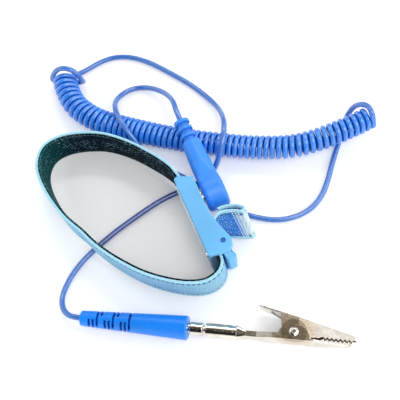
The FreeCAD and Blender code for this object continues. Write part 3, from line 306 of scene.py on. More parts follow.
def woven_elastic(tail_start, fold):
    """Woven polyester elastic: light blue weft over rubber, paler where the selvage turns.

    A row of darker dashes runs beside each selvage. The tail is a darker, deeper blue between the
    pale crossings, as painted shade, and its sewn hem is nearly white.
    """
    material, tree, surface = shader("woven polyester elastic, light blue")
    uv = node(tree, "ShaderNodeUVMap", uv_map="weave").outputs["UV"]
    split = node(tree, "ShaderNodeSeparateXYZ", {"Vector": uv}).outputs
    yarns = bricks(tree, mapped(tree, uv, (per_mm(0.95), per_mm(0.5), 1.0)), (1, 0.75), 0.16, 0.9)
    fuzz = noise(tree, uv, 0.35, 3.0)
    drift = noise(tree, uv, 7.0, 3.0)
    face = ramp(tree, yarns, [(0.0, BAND_GROOVE), (1.0, BAND_FACE)])
    face = blended(tree, between(tree, drift, 0.45, 0.7, 0.0, 0.5), face, BAND_GROOVE)
    face = blended(tree, maths(tree, "MULTIPLY", yarn_dots(tree, uv, 1.3, 0.1), 0.5), face, BAND_PALE)
    # Painted shade: the tail is darker and bluer than the rest of the band
    tail = ramp(tree, yarns, [(0.0, TAIL_PAINTED_SHADE_GROOVE), (1.0, TAIL_PAINTED_SHADE_FACE)])
    specks = maths(tree, "MULTIPLY", yarn_dots(tree, uv, 1.1, -0.15), 0.62)
    tail = blended(tree, specks, tail, BAND_PALE)
    in_tail_painted_shade = between(tree, split["X"], (tail_start - 2.0) * MM, (tail_start + 1.0) * MM)
    tint = blended(tree, in_tail_painted_shade, face, tail)
    past_fold = maths(tree, "ABSOLUTE", maths(tree, "SUBTRACT", split["X"], fold * MM))
    hem = between(tree, past_fold, *HEM_REACH)
    cut = blended(tree, maths(tree, "MULTIPLY", yarn_dots(tree, uv, 0.9, 0.0), 0.8), HEM, HEM_DOT)
    tint = blended(tree, maths(tree, "MULTIPLY", hem, 0.95), tint, cut)
    off_middle = maths(tree, "ABSOLUTE", maths(tree, "SUBTRACT", split["Y"], HALF_BAND))
    dash = node(tree, "ShaderNodeTexWave", {"Vector": uv, "Scale": per_mm(6.0), "Distortion": 0.6},
                bands_direction="X").outputs["Fac"]
    dashes = maths(tree, "MULTIPLY", between(tree, off_middle, *DASH_ROW),
                   between(tree, dash, 0.3, 0.6, 0.2, 0.95))
    tint = blended(tree, dashes, tint, BAND_DASH)
    rim = blended(tree, maths(tree, "MULTIPLY", yarns, 0.8), BAND_FACE, BAND_RIM)
    give(tree, surface, {
        "Base Color": blended(tree, between(tree, off_middle, *SELVAGE), tint, rim),
        "Normal": bump(tree, maths(tree, "ADD", yarns, fuzz), 0.12),
        "Roughness": 0.82, "Specular IOR Level": 0.2, "Sheen Weight": 0.2, "Sheen Roughness": 0.5})
    return material


def conductive_weave():
    """Conductive lining: black-green yarn with steel fibre that glints in small dots.

    Towards the loop's far bend, from x of -34 mm to -47 mm, the yarn turns from green to teal.
    """
    material, tree, surface = shader("conductive lining, dark yarn with steel fibre")
    uv = node(tree, "ShaderNodeUVMap", uv_map="weave").outputs["UV"]
    dots = yarn_dots(tree, uv, 1.25, -0.25)
    fuzz = noise(tree, uv, 0.5, 3.0)
    wear = between(tree, noise(tree, uv, 5.0, 3.0), 0.38, 0.65, 0.0, 0.9)
    place = node(tree, "ShaderNodeSeparateXYZ", {"Vector": object_coordinates(tree)})
    green = blended(tree, between(tree, place.outputs["X"], *TEAL_BEND), LINING_GREEN, LINING_TEAL)
    yarn = blended(tree, between(tree, fuzz, 0.35, 0.7), LINING_DARK, green)
    give(tree, surface, {
        "Base Color": blended(tree, maths(tree, "MULTIPLY", dots, wear), yarn, LINING_FLECK),
        "Normal": bump(tree, maths(tree, "ADD", dots, fuzz), 0.1),
        "Roughness": 0.7, "Specular IOR Level": 0.03})
    return material


def sewing_thread(name, colour):
    """Spun polyester thread: matte, with a little fuzz."""
    material, tree, surface = shader(name)
    twist = noise(tree, object_coordinates(tree), 0.25, 2.0)
    give(tree, surface, {
        "Base Color": linear(colour), "Normal": bump(tree, twist, 0.04), "Roughness": 0.75,
        "Sheen Weight": 0.3})
    return material


def cord_jacket(colour, first_lead, last_lead):
    """Extruded polyurethane jacket: blue and satin, with faint drawing lines, and painted shade between
    the curls.

    The leads at both ends, given as shares of the cord's points, are darker and duller than the
    curls, and the one under the band is darker still inside the wrist loop, as painted shade.
    """
    material, tree, surface = shader("extruded polyurethane cord jacket, blue")
    place = object_coordinates(tree)
    tint = ramp(tree, noise(tree, place, 6.0, 2.0), [
        (0.3, scaled(colour, (0.8, 0.8, 0.8))), (0.7, tuple(colour))])
    uv = node(tree, "ShaderNodeTexCoord").outputs["UV"]
    along = node(tree, "ShaderNodeSeparateXYZ", {"Vector": uv}).outputs["X"]
    tint = blended(tree, between(tree, along, first_lead - LEAD_BLEND, first_lead), LEAD_DULL, tint)
    # Painted shade: the plug's lead is darker inside the wrist loop
    lead_painted_shade = blended(tree, between(tree, from_loop(tree), *BAND_PAINTED_SHADE_REACH), LEAD_DULL, LEAD_PAINTED_SHADE)
    last_start = 1 - last_lead
    tint = blended(tree, between(tree, along, last_start, last_start + LEAD_BLEND), tint, lead_painted_shade)
    clear = openness(tree, 1.2)
    # Painted shade: the colour deepens between the curls
    painted_shade_colour = scaled(colour, (0.1, 0.3, 0.5))
    skin = noise(tree, place, 0.6, 3.0)
    give(tree, surface, {
        "Base Color": blended(tree, between(tree, clear, 0.25, 0.8), painted_shade_colour, tint),
        "Roughness": between(tree, skin, 0.3, 0.7, 0.18, 0.3),
        "Normal": bump(tree, skin, 0.005),
        "Specular IOR Level": between(tree, clear, 0.3, 0.8),
        "IOR": 1.62, "Subsurface Weight": 0.08, "Subsurface Radius": (0.0004, 0.0008, 0.0020),
        "Subsurface Scale": 1.0})
    return material


def finish(names, material):
    """Gives CAD parts their material."""
    for name in names:
        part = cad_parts[name]
        part.data.materials.clear()
        part.data.materials.append(material)


def settle(piece):
    """Turns a piece's modifiers into its own plain mesh."""
    graph = bpy.context.evaluated_depsgraph_get()
    mesh = bpy.data.meshes.new_from_object(piece.evaluated_get(graph), preserve_all_data_layers=True,
                                           depsgraph=graph)
    piece.modifiers.clear()
    piece.data = mesh
    return piece


def new_object(name, data):
    """Object with this data, in the scene."""
    made = bpy.data.objects.new(name, data)
    bpy.context.scene.collection.objects.link(made)
    return made


# Band: x, y of the strip's middle, in mm, and its lower edge's height in shares of BAND_REST

BAND_ROUTE = [
    (-1.5, 4.0, 1.0), (-1.5, 11.0, 1.0), (-1.5, 17.4, 1.08), (-2.2, 20.8, 1.45),
    (-3.4, 25.0, 1.35), (-7.3, 33.1, 0.55), (-14.0, 43.3, 0.05), (-22.2, 51.5, 0.0),
    (-31.1, 56.3, 0.0), (-39.3, 58.3, 0.0), (-46.0, 56.8, 0.0), (-50.2, 51.0, 0.0),
    (-51.2, 43.6, 0.0), (-50.0, 33.7, 0.15), (-47.0, 22.8, 0.8), (-42.9, 13.8, 1.35),
    (-40.0, 7.0, 1.05), (-35.3, -0.7, 0.45), (-28.2, -9.8, 0.05), (-20.8, -16.6, 0.0),
    (-14.0, -21.2, 0.15), (-8.0, -23.4, 0.4), (-2.9, -22.6, 0.7), (-0.2, -19.8, 0.95),
    (0.2, -16.6, 1.0), (0.2, -13.2, 1.0), (0.3, -10.2, 1.05),
]

TAIL_ROUTE = [
    ((1.2, -7.6, 0.2), (1.0, -6.9, 0.1)),
    ((2.9, -6.3, 0.4), (2.5, -4.5, 0.1)),
    ((5.3, -6.4, 0.7), (4.4, -2.8, 0.1)),
    ((8.0, -7.7, 1.2), (6.6, -1.5, -0.2)),
    ((10.7, -9.2, 1.1), (9.2, -1.5, -1.1)),
    ((13.0, -10.3, 0.8), (11.9, -2.4, -1.5)),
    ((14.7, -10.9, 0.7), (14.2, -4.2, -1.0)),
]
BAND_REST = 2.0
TAIL_BULGE = 1.1
FOLD_RADIUS = 0.8
SPAN_STEPS = 12
FOLD_STEPS = 12
TAIL_BACK_SPANS = 3

# Section of the elastic, in mm: the lining lies on the flat seam side
ELASTIC_HALF = 0.9
SEAM = -0.2
RIM_RADIUS = 0.56
FACE_DIP = 0.08
GROOVE_DIP = 0.22
GROOVE_MARGIN = 1.32
FACE_MARGIN = 1.75
FACE_STATION = 4.5
SEAM_MARGIN = 0.9
RIM_STEPS = 6

# Lining and stitches, in mm: each row's stations before the fold, a stitch's length and radius
LINING_FACES = (-0.88, -0.2)
LINING_MARGIN = 0.35
LINING_CORNER = 0.3
LINING_SEAM = (0.95, -0.90)
SEAM_STITCH = (0.8, 0.16)
TAIL_ROWS = (3, 6, 9, 12)
TAIL_ROW_OUT = 0.84
TAIL_ROW_MARGIN = 0.8
TAIL_STITCH = (0.62, 0.26)
TAIL_STITCH_SPACING = 1.0

# How close the stations along the strip are, in mm, and how many a corner and a rib have
CORNER_STEPS = 4
STATIONS_PER_RIB = 6
LINING_STATION = 0.45
FOLD_STATION = 0.5
SEAM_STATION = 0.6
TAIL_STATION = 0.4


def smooth_between(rows, steps):
    """Points on a smooth line through rows of numbers, so many steps to a span."""
    result = []
    for index in range(len(rows) - 1):
        here, after = rows[index], rows[index + 1]
        before = rows[max(index - 1, 0)]
        later = rows[min(index + 2, len(rows) - 1)]
        for step in range(steps):
            share = step / steps
            row = []
            for a, b, c, d in zip(before, here, after, later):
                slope = (c - a) / 2
                next_slope = (d - b) / 2
                bend = 3 * (c - b) - 2 * slope - next_slope
                twist = slope + next_slope - 2 * (c - b)
                row.append(b + share * (slope + share * (bend + share * twist)))
            result.append(row)
    result.append(list(rows[-1]))
    return result


def band_line(width):
    """Lower and upper edge of the strip's middle, in mm, and where the lining stops."""
    rows = []
    for x, y, share in BAND_ROUTE:
        low = share * BAND_REST
        rows.append((x, y, low, x, y, low + width))
    for (x, y, rise), (upper_x, upper_y, upper_rise) in TAIL_ROUTE:
        rows.append((x, y, BAND_REST + rise, upper_x, upper_y, BAND_REST + width + upper_rise))
    pairs = [(Vector(row[:3]), Vector(row[3:])) for row in smooth_between(rows, SPAN_STEPS)]
    lining_end = SPAN_STEPS * (len(BAND_ROUTE) - 1)
    low, high = pairs[-1]
    way = ((low - pairs[-2][0]) + (high - pairs[-2][1])).normalized()
    width_way = (high - low).normalized()
    way = (way - width_way * way.dot(width_way)).normalized()
    inward = width_way.cross(way)
    fold = []
    for step in range(1, FOLD_STEPS + 1):
        angle = math.pi * step / FOLD_STEPS
        shift = way * (FOLD_RADIUS * math.sin(angle)) + inward * (FOLD_RADIUS * (1 - math.cos(angle)))
        fold.append((low + shift, high + shift))
    back = []
    count = TAIL_BACK_SPANS * SPAN_STEPS
    for step, (pair, after) in enumerate(zip(pairs[-count - 1:-1], pairs[-count:])):
        along = ((after[0] - pair[0]) + (after[1] - pair[1])).normalized()
        across = (pair[1] - pair[0]).normalized()
        bulge = TAIL_BULGE * math.sin(math.pi * step / count)
        side = across.cross(along) * (2 * FOLD_RADIUS + bulge)
        back.append((pair[0] + side, pair[1] + side))
    back.reverse()
    return pairs + fold + back, lining_end


def evenly(pairs, spacing):
    """Resamples a strip's edges at one spacing along its middle, with the distance run."""
    middles = [(low + high) / 2 for low, high in pairs]
    run = [0.0]
    for before, after in zip(middles, middles[1:]):
        run.append(run[-1] + (after - before).length)
    count = round(run[-1] / spacing)
    result = []
    index = 0
    for step in range(count + 1):
        distance = run[-1] * step / count
        while index < len(run) - 2 and run[index + 1] < distance:
            index += 1
        share = (distance - run[index]) / (run[index + 1] - run[index])
        low = pairs[index][0].lerp(pairs[index + 1][0], share)
        high = pairs[index][1].lerp(pairs[index + 1][1], share)
        result.append((low, high, distance))
    return result


def outward_side(line, index):
    """Which way the strip's outer face looks at one of its stations."""
    before = line[max(index - 1, 0)]
    after = line[min(index + 1, len(line) - 1)]
    way = (after[0] - before[0]) + (after[1] - before[1])
    return way.cross(line[index][1] - line[index][0]).normalized()


def strip_mesh(name, line, outline):
    """Sweeps an outline of (outward, height) points along the strip, closed at both ends."""
    mesh = bpy.data.meshes.new(name)
    points, along, across = [], [], []
    for index, (low, high, distance) in enumerate(line):
        side = outward_side(line, index)
        up = high - low
        for outward, height in outline:
            points.append((low + up * (height / up.length) + side * outward) * MM)
            along.append(distance)
            across.append(height)
    ring = len(outline)
    faces = []
    for index in range(len(line) - 1):
        for corner in range(ring):
            following = (corner + 1) % ring
            a, b = index * ring + corner, index * ring + following
            faces.append((a, b, b + ring, a + ring))
    faces.append(tuple(reversed(range(ring))))
    faces.append(tuple(range(len(points) - ring, len(points))))
    mesh.from_pydata(points, [], faces)
    uv = mesh.uv_layers.new(name="weave")
    for loop in mesh.loops:
        vertex = loop.vertex_index
        uv.data[loop.index].uv = (along[vertex] * MM, across[vertex] * MM)
    run = mesh.attributes.new("along", "FLOAT", "POINT")
    run.data.foreach_set("value", [value * MM for value in along])
    for polygon in mesh.polygons:
        polygon.use_smooth = len(polygon.vertices) == 4
    mesh.update()
    return mesh


def recalculate(mesh):
    """Points every face outwards."""
    work = bmesh.new()
    work.from_mesh(mesh)
    bmesh.ops.recalc_face_normals(work, faces=work.faces)
    work.to_mesh(mesh)
    work.free()


def node_group(name, inputs):
    """Geometry node group that takes a geometry and these inputs, and what its inputs are called."""
    tree = bpy.data.node_groups.new(name, "GeometryNodeTree")
    sockets = tree.interface
    sockets.new_socket("Geometry", in_out="INPUT", socket_type="NodeSocketGeometry")
    identifiers = []
    for label in inputs:
        kind = "NodeSocketMaterial" if label == "Material" else "NodeSocketFloat"
        identifiers.append(sockets.new_socket(label, in_out="INPUT", socket_type=kind).identifier)
    sockets.new_socket("Geometry", in_out="OUTPUT", socket_type="NodeSocketGeometry")
    return tree, node(tree, "NodeGroupInput").outputs, identifiers


def send_out(tree, geometry, material):
    """Makes instances real, gives them their material and ends the group."""
    real = node(tree, "GeometryNodeRealizeInstances", {"Geometry": geometry})
    dressed = node(tree, "GeometryNodeSetMaterial", {
        "Geometry": real.outputs["Geometry"], "Material": material})
    node(tree, "NodeGroupOutput", {"Geometry": dressed.outputs["Geometry"]})


def rib_nodes():
    """Lowers the band's faces between its wefts, so that each weft stands up as a rib."""
    tree, given, identifiers = node_group("Weft ribs", ("Rib spacing", "Rib height", "Material"))
    run = node(tree, "GeometryNodeInputNamedAttribute", {"Name": "along"}, data_type="FLOAT")
    turns = maths(tree, "DIVIDE", run.outputs["Attribute"], given["Rib spacing"])
    wave = maths(tree, "SINE", maths(tree, "MULTIPLY", turns, math.pi))
    lowered = maths(tree, "SUBTRACT", maths(tree, "ABSOLUTE", wave), 1.0)
    rise = maths(tree, "MULTIPLY", lowered, given["Rib height"])
    normal = node(tree, "GeometryNodeInputNormal")
    shift = node(tree, "ShaderNodeVectorMath", {0: normal.outputs["Normal"], "Scale": rise},
                 operation="SCALE")
    raised = node(tree, "GeometryNodeSetPosition", {
        "Geometry": given["Geometry"], "Offset": shift.outputs["Vector"]})
    send_out(tree, raised.outputs["Geometry"], given["Material"])
    return tree, *identifiers


def stitch_nodes():
    """Lays thread stitches at one spacing along every line of the given mesh."""
    tree, given, identifiers = node_group(
        "Stitches", ("Stitch spacing", "Stitch length", "Thread radius", "Material"))
    line = node(tree, "GeometryNodeMeshToCurve", {"Mesh": given["Geometry"]})
    spread = node(tree, "GeometryNodeCurveToPoints", {
        "Curve": line.outputs["Curve"], "Length": given["Stitch spacing"]}, mode="LENGTH")
    bead = node(tree, "GeometryNodeMeshUVSphere", {"Segments": 8, "Rings": 6, "Radius": 1.0})
    shape = node(tree, "ShaderNodeCombineXYZ", {
        "X": given["Thread radius"], "Y": given["Thread radius"],
        "Z": maths(tree, "MULTIPLY", given["Stitch length"], 0.5)})
    laid = node(tree, "GeometryNodeInstanceOnPoints", {
        "Points": spread.outputs["Points"], "Instance": bead.outputs["Mesh"],
        "Rotation": spread.outputs["Rotation"], "Scale": shape.outputs["Vector"]})
    send_out(tree, laid.outputs["Instances"], given["Material"])
    return tree, *identifiers


def rounded_outline(inner, outer, low, high, corner):
    """Rounded rectangle of (outward, height) points."""
    result = []
    corners = [(outer - corner, low + corner, -90), (outer - corner, high - corner, 0),
               (inner + corner, high - corner, 90), (inner + corner, low + corner, 180)]
    for outward, height, start in corners:
        for step in range(CORNER_STEPS + 1):
            angle = math.radians(start + 90 * step / CORNER_STEPS)
            result.append((outward + corner * math.cos(angle), height + corner * math.sin(angle)))
    return result


def elastic_outline(width):
    """Section of the elastic: a flat face between two rounded selvages, each set off by a groove."""
    centre = ELASTIC_HALF - RIM_RADIUS
    face = ELASTIC_HALF - FACE_DIP
    groove = ELASTIC_HALF - GROOVE_DIP

    def rim(start, middle):
        angles = [math.radians(start + 190 * step / RIM_STEPS) for step in range(RIM_STEPS + 1)]
        return [(centre + RIM_RADIUS * math.cos(angle), middle + RIM_RADIUS * math.sin(angle))
                for angle in angles]

    result = rim(-150, RIM_RADIUS)
    result += [(groove, GROOVE_MARGIN), (face, FACE_MARGIN), (face, FACE_STATION), (face, width / 2),
               (face, width - FACE_STATION), (face, width - FACE_MARGIN),
               (groove, width - GROOVE_MARGIN)]
    result += rim(-40, width - RIM_RADIUS)
    result += [(SEAM, width - SEAM_MARGIN), (SEAM, width / 2), (SEAM, SEAM_MARGIN)]
    return result


class BandSizes(bpy.types.PropertyGroup):
    width: FloatProperty(
        name="Width", description="Width of the woven band", default=15.0 * MM, unit="LENGTH")
    rib_spacing: FloatProperty(
        name="Rib spacing", description="Distance between the weft's ribs along the band",
        default=0.95 * MM, unit="LENGTH", precision=5)
    rib_height: FloatProperty(
        name="Rib height", description="Depth of the dips between the ribs",
        default=0.11 * MM, unit="LENGTH", precision=5)
    stitch_spacing: FloatProperty(
        name="Stitch spacing", description="Distance from one stitch to the next",
        default=1.25 * MM, unit="LENGTH", precision=5)


class CordSizes(bpy.types.PropertyGroup):
    diameter: FloatProperty(
        name="Diameter", description="Diameter of the cord's jacket", default=2.2 * MM, unit="LENGTH",
        precision=5)
    left_radius: FloatProperty(
        name="Left coil radius", description="Radius of the curls' middle line at the plug's end",
        default=4.2 * MM, unit="LENGTH", precision=5)
    right_radius: FloatProperty(
        name="Right coil radius", description="Radius of the curls' middle line at the connector's end",
        default=3.5 * MM, unit="LENGTH", precision=5)
    points_per_turn: IntProperty(
        name="Points a turn", description="Points of the cord's line in each curl", default=16, min=12)


class Finishes(bpy.types.PropertyGroup):
    buckle: FloatVectorProperty(
        name="Buckle", description="Colour of the buckle's plastic", subtype="COLOR", size=4,
        default=linear("#6CBCF4"), min=0, max=1)
    connector: FloatVectorProperty(
        name="Connector", description="Colour of the connector's plastic", subtype="COLOR", size=4,
        default=linear("#3A92F9"), min=0, max=1)
    plug: FloatVectorProperty(
        name="Plug", description="Colour of the plug sleeve's plastic", subtype="COLOR", size=4,
        default=linear("#0A86F8"), min=0, max=1)
    cord: FloatVectorProperty(
        name="Cord", description="Colour of the cord's jacket", subtype="COLOR", size=4,
        default=linear("#2488F4"), min=0, max=1)


# Stage: distances in m, the camera's place in mm

FLOOR_REACH = 3.0
FLOOR_LIFT = 0.26
LOOP_PAINTED_SHADE_LIFT = 0.09
LOOP_PAINTED_SHADE_EDGE = (0.85, 1.15)
HORIZON_LEVEL = 1.8
ZENITH_LEVEL = 0.1
ROOM = [
    ((-0.30, 0.05, 0.95), 0.86, 0.92, "#4D4530"),
    ((-0.37, -0.55, 0.75), 0.80, 0.88, "#0E0A05"),
    ((0.42, 0.90, 0.12), 0.80, 0.95, "#6A6458"),
]
LAMPS = [
    ("soft box in front", (0.1, -0.35, 0.88), (0.5, 0.5), 3.0),
    ("strip light behind", (0.31, 0.55, 0.78), (0.45, 0.12), 1.8),
    ("window on the right", (0.75, -0.35, 0.55), (0.5, 0.5), 2.0),
]
LAMP_AIM = (0.0, 0.02, 0.0)
CAMERA_PLACE = (-9.62, -117.17, 266.91)
CAMERA_AZIMUTH = 5.5
CAMERA_ELEVATION = 63.74
CAMERA_ROLL = (0.3243, 0.9459)
LENS = 67.5
SENSOR_WIDTH = 36.0


def lay_floor():
    """White paper; seen by the camera and in mirrors it is lifted, as in a bright studio, less inside
    the wrist loop as painted shade.
    """
    floor = bpy.data.meshes.new("floor")
    reach = FLOOR_REACH
    floor.from_pydata([(-reach, -reach, 0), (reach, -reach, 0), (reach, reach, 0), (-reach, reach, 0)],
                      [], [(0, 1, 2, 3)])
    material, tree, surface = shader("white paper floor")
    path = node(tree, "ShaderNodeLightPath").outputs
    seen = maths(tree, "MAXIMUM", path["Is Camera Ray"], path["Is Glossy Ray"])
    seen = maths(tree, "MAXIMUM", seen, path["Is Transmission Ray"])
    paper = noise(tree, object_coordinates(tree), 0.8, 2.0)
    # Painted shade: the floor is lifted less inside the wrist loop
    lift_with_painted_shade = between(tree, from_loop(tree), *LOOP_PAINTED_SHADE_EDGE, LOOP_PAINTED_SHADE_LIFT, FLOOR_LIFT)
    give(tree, surface, {
        "Base Color": ramp(tree, paper, [(0.3, "#EBEBEC"), (0.7, "#EFEFF0")]), "Roughness": 0.9,
        "Emission Color": (1, 1, 1, 1), "Emission Strength": maths(tree, "MULTIPLY", seen, lift_with_painted_shade)})
    floor.materials.append(material)
    new_object("floor", floor)


def light_room():
    """White room, brighter near the horizon for matte faces, with dark cards that metal mirrors."""
    world = bpy.data.worlds.new("studio")
    world.use_nodes = True
    tree = world.node_tree
    path = node(tree, "ShaderNodeLightPath").outputs
    way_out = node(tree, "ShaderNodeTexCoord").outputs["Generated"]
    height = node(tree, "ShaderNodeSeparateXYZ", {"Vector": way_out}).outputs["Z"]
    tent = between(tree, height, 0.0, 1.0, HORIZON_LEVEL, ZENITH_LEVEL)
    room = (1.0, 1.0, 1.0, 1.0)
    for way, edge, middle, colour in ROOM:
        towards = vectors(tree, "DOT_PRODUCT", way_out, way)["Value"]
        share = between(tree, towards, edge, middle, 0.0, path["Is Glossy Ray"])
        room = blended(tree, share, room, colour)
    give(tree, tree.nodes["Background"], {
        "Color": room, "Strength": between(tree, path["Is Diffuse Ray"], 0.0, 1.0, 1.0, tent)})
    bpy.context.scene.world = world


def hang_lamps():
    """Rectangular lamps, all aimed at the strap."""
    for name, place, size, power in LAMPS:
        light = bpy.data.lights.new(name, "AREA")
        light.shape = "RECTANGLE"
        light.size, light.size_y = size
        light.energy = power
        lamp = new_object(name, light)
        lamp.location = place
        aim = Vector(LAMP_AIM) - Vector(place)
        lamp.rotation_euler = aim.to_track_quat("-Z", "Y").to_euler()


def make_camera():
    """Looks down on the strap, turned a little, at the picture's angle."""
    turn, tilt = math.radians(CAMERA_AZIMUTH), math.radians(CAMERA_ELEVATION)
    forward = Vector((
        math.sin(turn) * math.cos(tilt), math.cos(turn) * math.cos(tilt), -math.sin(tilt)))
    level = Vector((math.cos(turn), -math.sin(turn), 0.0))
    over = level.cross(forward)
    lean, upright = CAMERA_ROLL
    right = level * upright - over * lean
    down = level * -lean - over * upright
    lens = bpy.data.cameras.new("camera")
    lens.lens = LENS
    lens.sensor_width = SENSOR_WIDTH
    lens.clip_start = 0.01
    camera = new_object("camera", lens)
    turned = Matrix((right, -down, -forward)).transposed().to_4x4()
    camera.matrix_world = Matrix.Translation(Vector(CAMERA_PLACE) * MM) @ turned
    bpy.context.scene.camera = camera


# Cord: the points that draw its line, in mm, with its curls wound round the coil line

COIL_LINE = [
    (-28.2, 91.1, 5.4), (-28.7, 88.0, 5.4), (-29.0, 82.4, 5.4), (-28.0, 74.4, 5.4),
    (-21.8, 63.8, 5.4), (-12.2, 55.0, 5.35), (-2.6, 46.6, 5.3), (8.0, 38.2, 5.2),
    (20.0, 30.0, 5.1), (31.5, 22.6, 5.3), (42.0, 17.0, 5.9), (50.5, 14.2, 6.8),
    (59.5, 13.1, 7.4), (67.0, 12.9, 7.6), (73.0, 13.0, 7.6), (76.4, 13.2, 7.5),
]
COIL_TURNS = 57.236
COIL_START_ANGLE = 270.0
CONNECTOR_LEAD = [
    (8.7, 42.08, 14.02), (8.7, 47.53, 14.79),
    (9.7, 53.8, 12.6), (8.4, 62.6, 7.0), (5.2, 69.8, 2.8), (1.2, 74.0, 1.1),
    (-4.2, 75.6, 1.1), (-9.4, 73.4, 2.6), (-12.2, 69.0, 6.2), (-13.2, 63.9, 10.0),
    (-13.5, 58.4, 12.2), (-12.9, 52.2, 12.2), (-11.5, 47.0, 9.6), (-10.0, 42.6, 4.2),
    (-8.0, 38.4, 1.1), (-4.8, 33.4, 1.2), (-1.7, 28.4, 2.4), (1.2, 23.6, 4.0),
    (4.6, 17.9, 4.0), (7.4, 12.8, 1.6), (10.0, 7.6, 1.1), (13.8, 2.4, 1.1),
    (20.4, -3.9, 1.1), (26.8, -8.2, 1.1), (33.6, -9.9, 1.1), (40.1, -9.4, 1.1),
    (45.5, -6.8, 1.1), (49.8, -3.0, 1.1), (53.9, 1.8, 1.1), (58.0, 6.8, 1.1),
    (62.6, 11.8, 1.1), (66.8, 16.6, 1.1),
    (69.8, 19.9, 1.6), (72.2, 21.0, 4.4), (74.0, 20.2, 8.4), (75.6, 17.9, 11.6),
    (76.7, 14.9, 13.3), (76.2, 11.0, 13.9),
]
PLUG_LEAD = [
    (-20.9, 88.3, 2.2), (-21.5, 86.2, 5.6), (-21.9, 86.6, 9.4), (-23.5, 88.6, 12.5),
    (-26.8, 91.2, 12.9), (-29.9, 93.2, 10.6), (-32.5, 94.2, 7.0), (-33.6, 94.8, 3.5),
    (-31.8, 95.3, 1.1),
    (-27.8, 94.9, 1.1), (-23.4, 94.2, 1.1), (-18.7, 94.2, 1.1), (-13.8, 95.1, 1.1),
    (-8.6, 95.4, 1.1), (-3.2, 94.4, 1.1), (3.0, 90.6, 1.1), (8.6, 84.4, 1.1),
    (14.2, 75.6, 1.1), (20.0, 65.9, 1.1), (24.0, 56.6, 1.1), (25.8, 48.4, 3.2),
    (25.4, 41.2, 8.2), (24.3, 35.4, 12.0), (22.0, 30.0, 12.9), (19.0, 26.0, 11.3),
    (15.6, 23.0, 6.9), (12.0, 21.5, 3.0), (7.0, 20.6, 1.1), (1.6, 20.2, 1.1),
    (-5.0, 20.5, 1.1), (-12.6, 20.1, 1.1), (-21.8, 18.2, 1.1), (-31.6, 15.9, 1.1),
    (-40.6, 13.0, 1.1), (-47.2, 10.4, 1.1), (-52.8, 7.2, 1.1), (-57.2, 3.6, 1.1),
    (-60.7, -0.8, 1.6), (-61.6, -5.3, 2.9), (-60.8, -8.9, 3.9),
]
PLUG_PLACE = Vector((-20.8, -33.6, 4.5))
PLUG_TURN = -30.2
SLEEVE_LENGTH = 40.6
RIVET_PLACE = (38.2, 1.3, 4.0)
CORD_BEHIND = 3.2
CORD_INSIDE = 1.0
GUIDE_STEPS = 40
CORD_STEPS = 4


def in_plug_frame(along, across, up):
    """Point near the plug, from its own frame, in mm."""
    turn = Matrix.Rotation(math.radians(PLUG_TURN), 3, "Z")
    return PLUG_PLACE + turn @ Vector((along, across, up))


def route(name, points, resolution):
    """Smooth NURBS line drawn by points in mm."""
    curve = bpy.data.curves.new(name, "CURVE")
    curve.dimensions = "3D"
    curve.resolution_u = resolution
    spline = curve.splines.new("NURBS")
    spline.points.add(len(points) - 1)
    for point, place in zip(spline.points, points):
        point.co = (*(Vector(place) * MM), 1.0)
    spline.order_u = 3
    spline.use_endpoint_u = True
    return curve


def curl_points(sizes):
    """Points of the curls from left to right, wound round the coil's own line, in mm."""
    guide = new_object("coil line", route("coil line", COIL_LINE, GUIDE_STEPS))
    graph = bpy.context.evaluated_depsgraph_get()
    mesh = bpy.data.meshes.new_from_object(guide.evaluated_get(graph))
    line = [vertex.co / MM for vertex in mesh.vertices]
    bpy.data.meshes.remove(mesh)
    bpy.data.objects.remove(guide)
    ways = []
    for index in range(len(line)):
        ways.append((line[min(index + 1, len(line) - 1)] - line[max(index - 1, 0)]).normalized())
    run = [0.0]
    for before, after in zip(line, line[1:]):
        run.append(run[-1] + (after - before).length)
    radii = []
    for distance in run:
        share = distance / run[-1]
        radii.append((sizes.left_radius * (1 - share) + sizes.right_radius * share) / MM)
    turned = [0.0]
    for index in range(len(line) - 1):
        step = run[index + 1] - run[index]
        bend = ways[index].angle(ways[index + 1]) / step
        turned.append(turned[-1] + step * (1 - radii[index] * bend))
    turned = [value / turned[-1] * COIL_TURNS for value in turned]
    # A NURBS of order three runs inside its points, so they are wound on a slightly wider radius
    swell = 1 / (0.75 + 0.25 * math.cos(2 * math.pi / sizes.points_per_turn))
    count = round(COIL_TURNS * sizes.points_per_turn)
    result = []
    index = 0
    for step in range(count + 1):
        turn = COIL_TURNS * step / count
        while index < len(turned) - 2 and turned[index + 1] < turn:
            index += 1
        share = (turn - turned[index]) / (turned[index + 1] - turned[index])
        centre = line[index].lerp(line[index + 1], share)
        way = ways[index].lerp(ways[index + 1], share)
        radius = (radii[index] * (1 - share) + radii[index + 1] * share) * swell
        side = way.cross(Vector((0, 0, 1))).normalized()
        up = side.cross(way).normalized()
        angle = math.radians(COIL_START_ANGLE) + 2 * math.pi * turn
        result.append(centre + side * (radius * math.cos(angle)) + up * (radius * math.sin(angle)))
    return result


class STRAP_OT_stage(bpy.types.Operator):
    """Lay the paper floor, hang the lamps and place the camera"""
    bl_idname = "strap.stage"
    bl_label = "Stage"

    def execute(self, context):
        context.scene.view_settings.view_transform = "Standard"
        make_camera()
        lay_floor()
        light_room()
        hang_lamps()
        return {"FINISHED"}


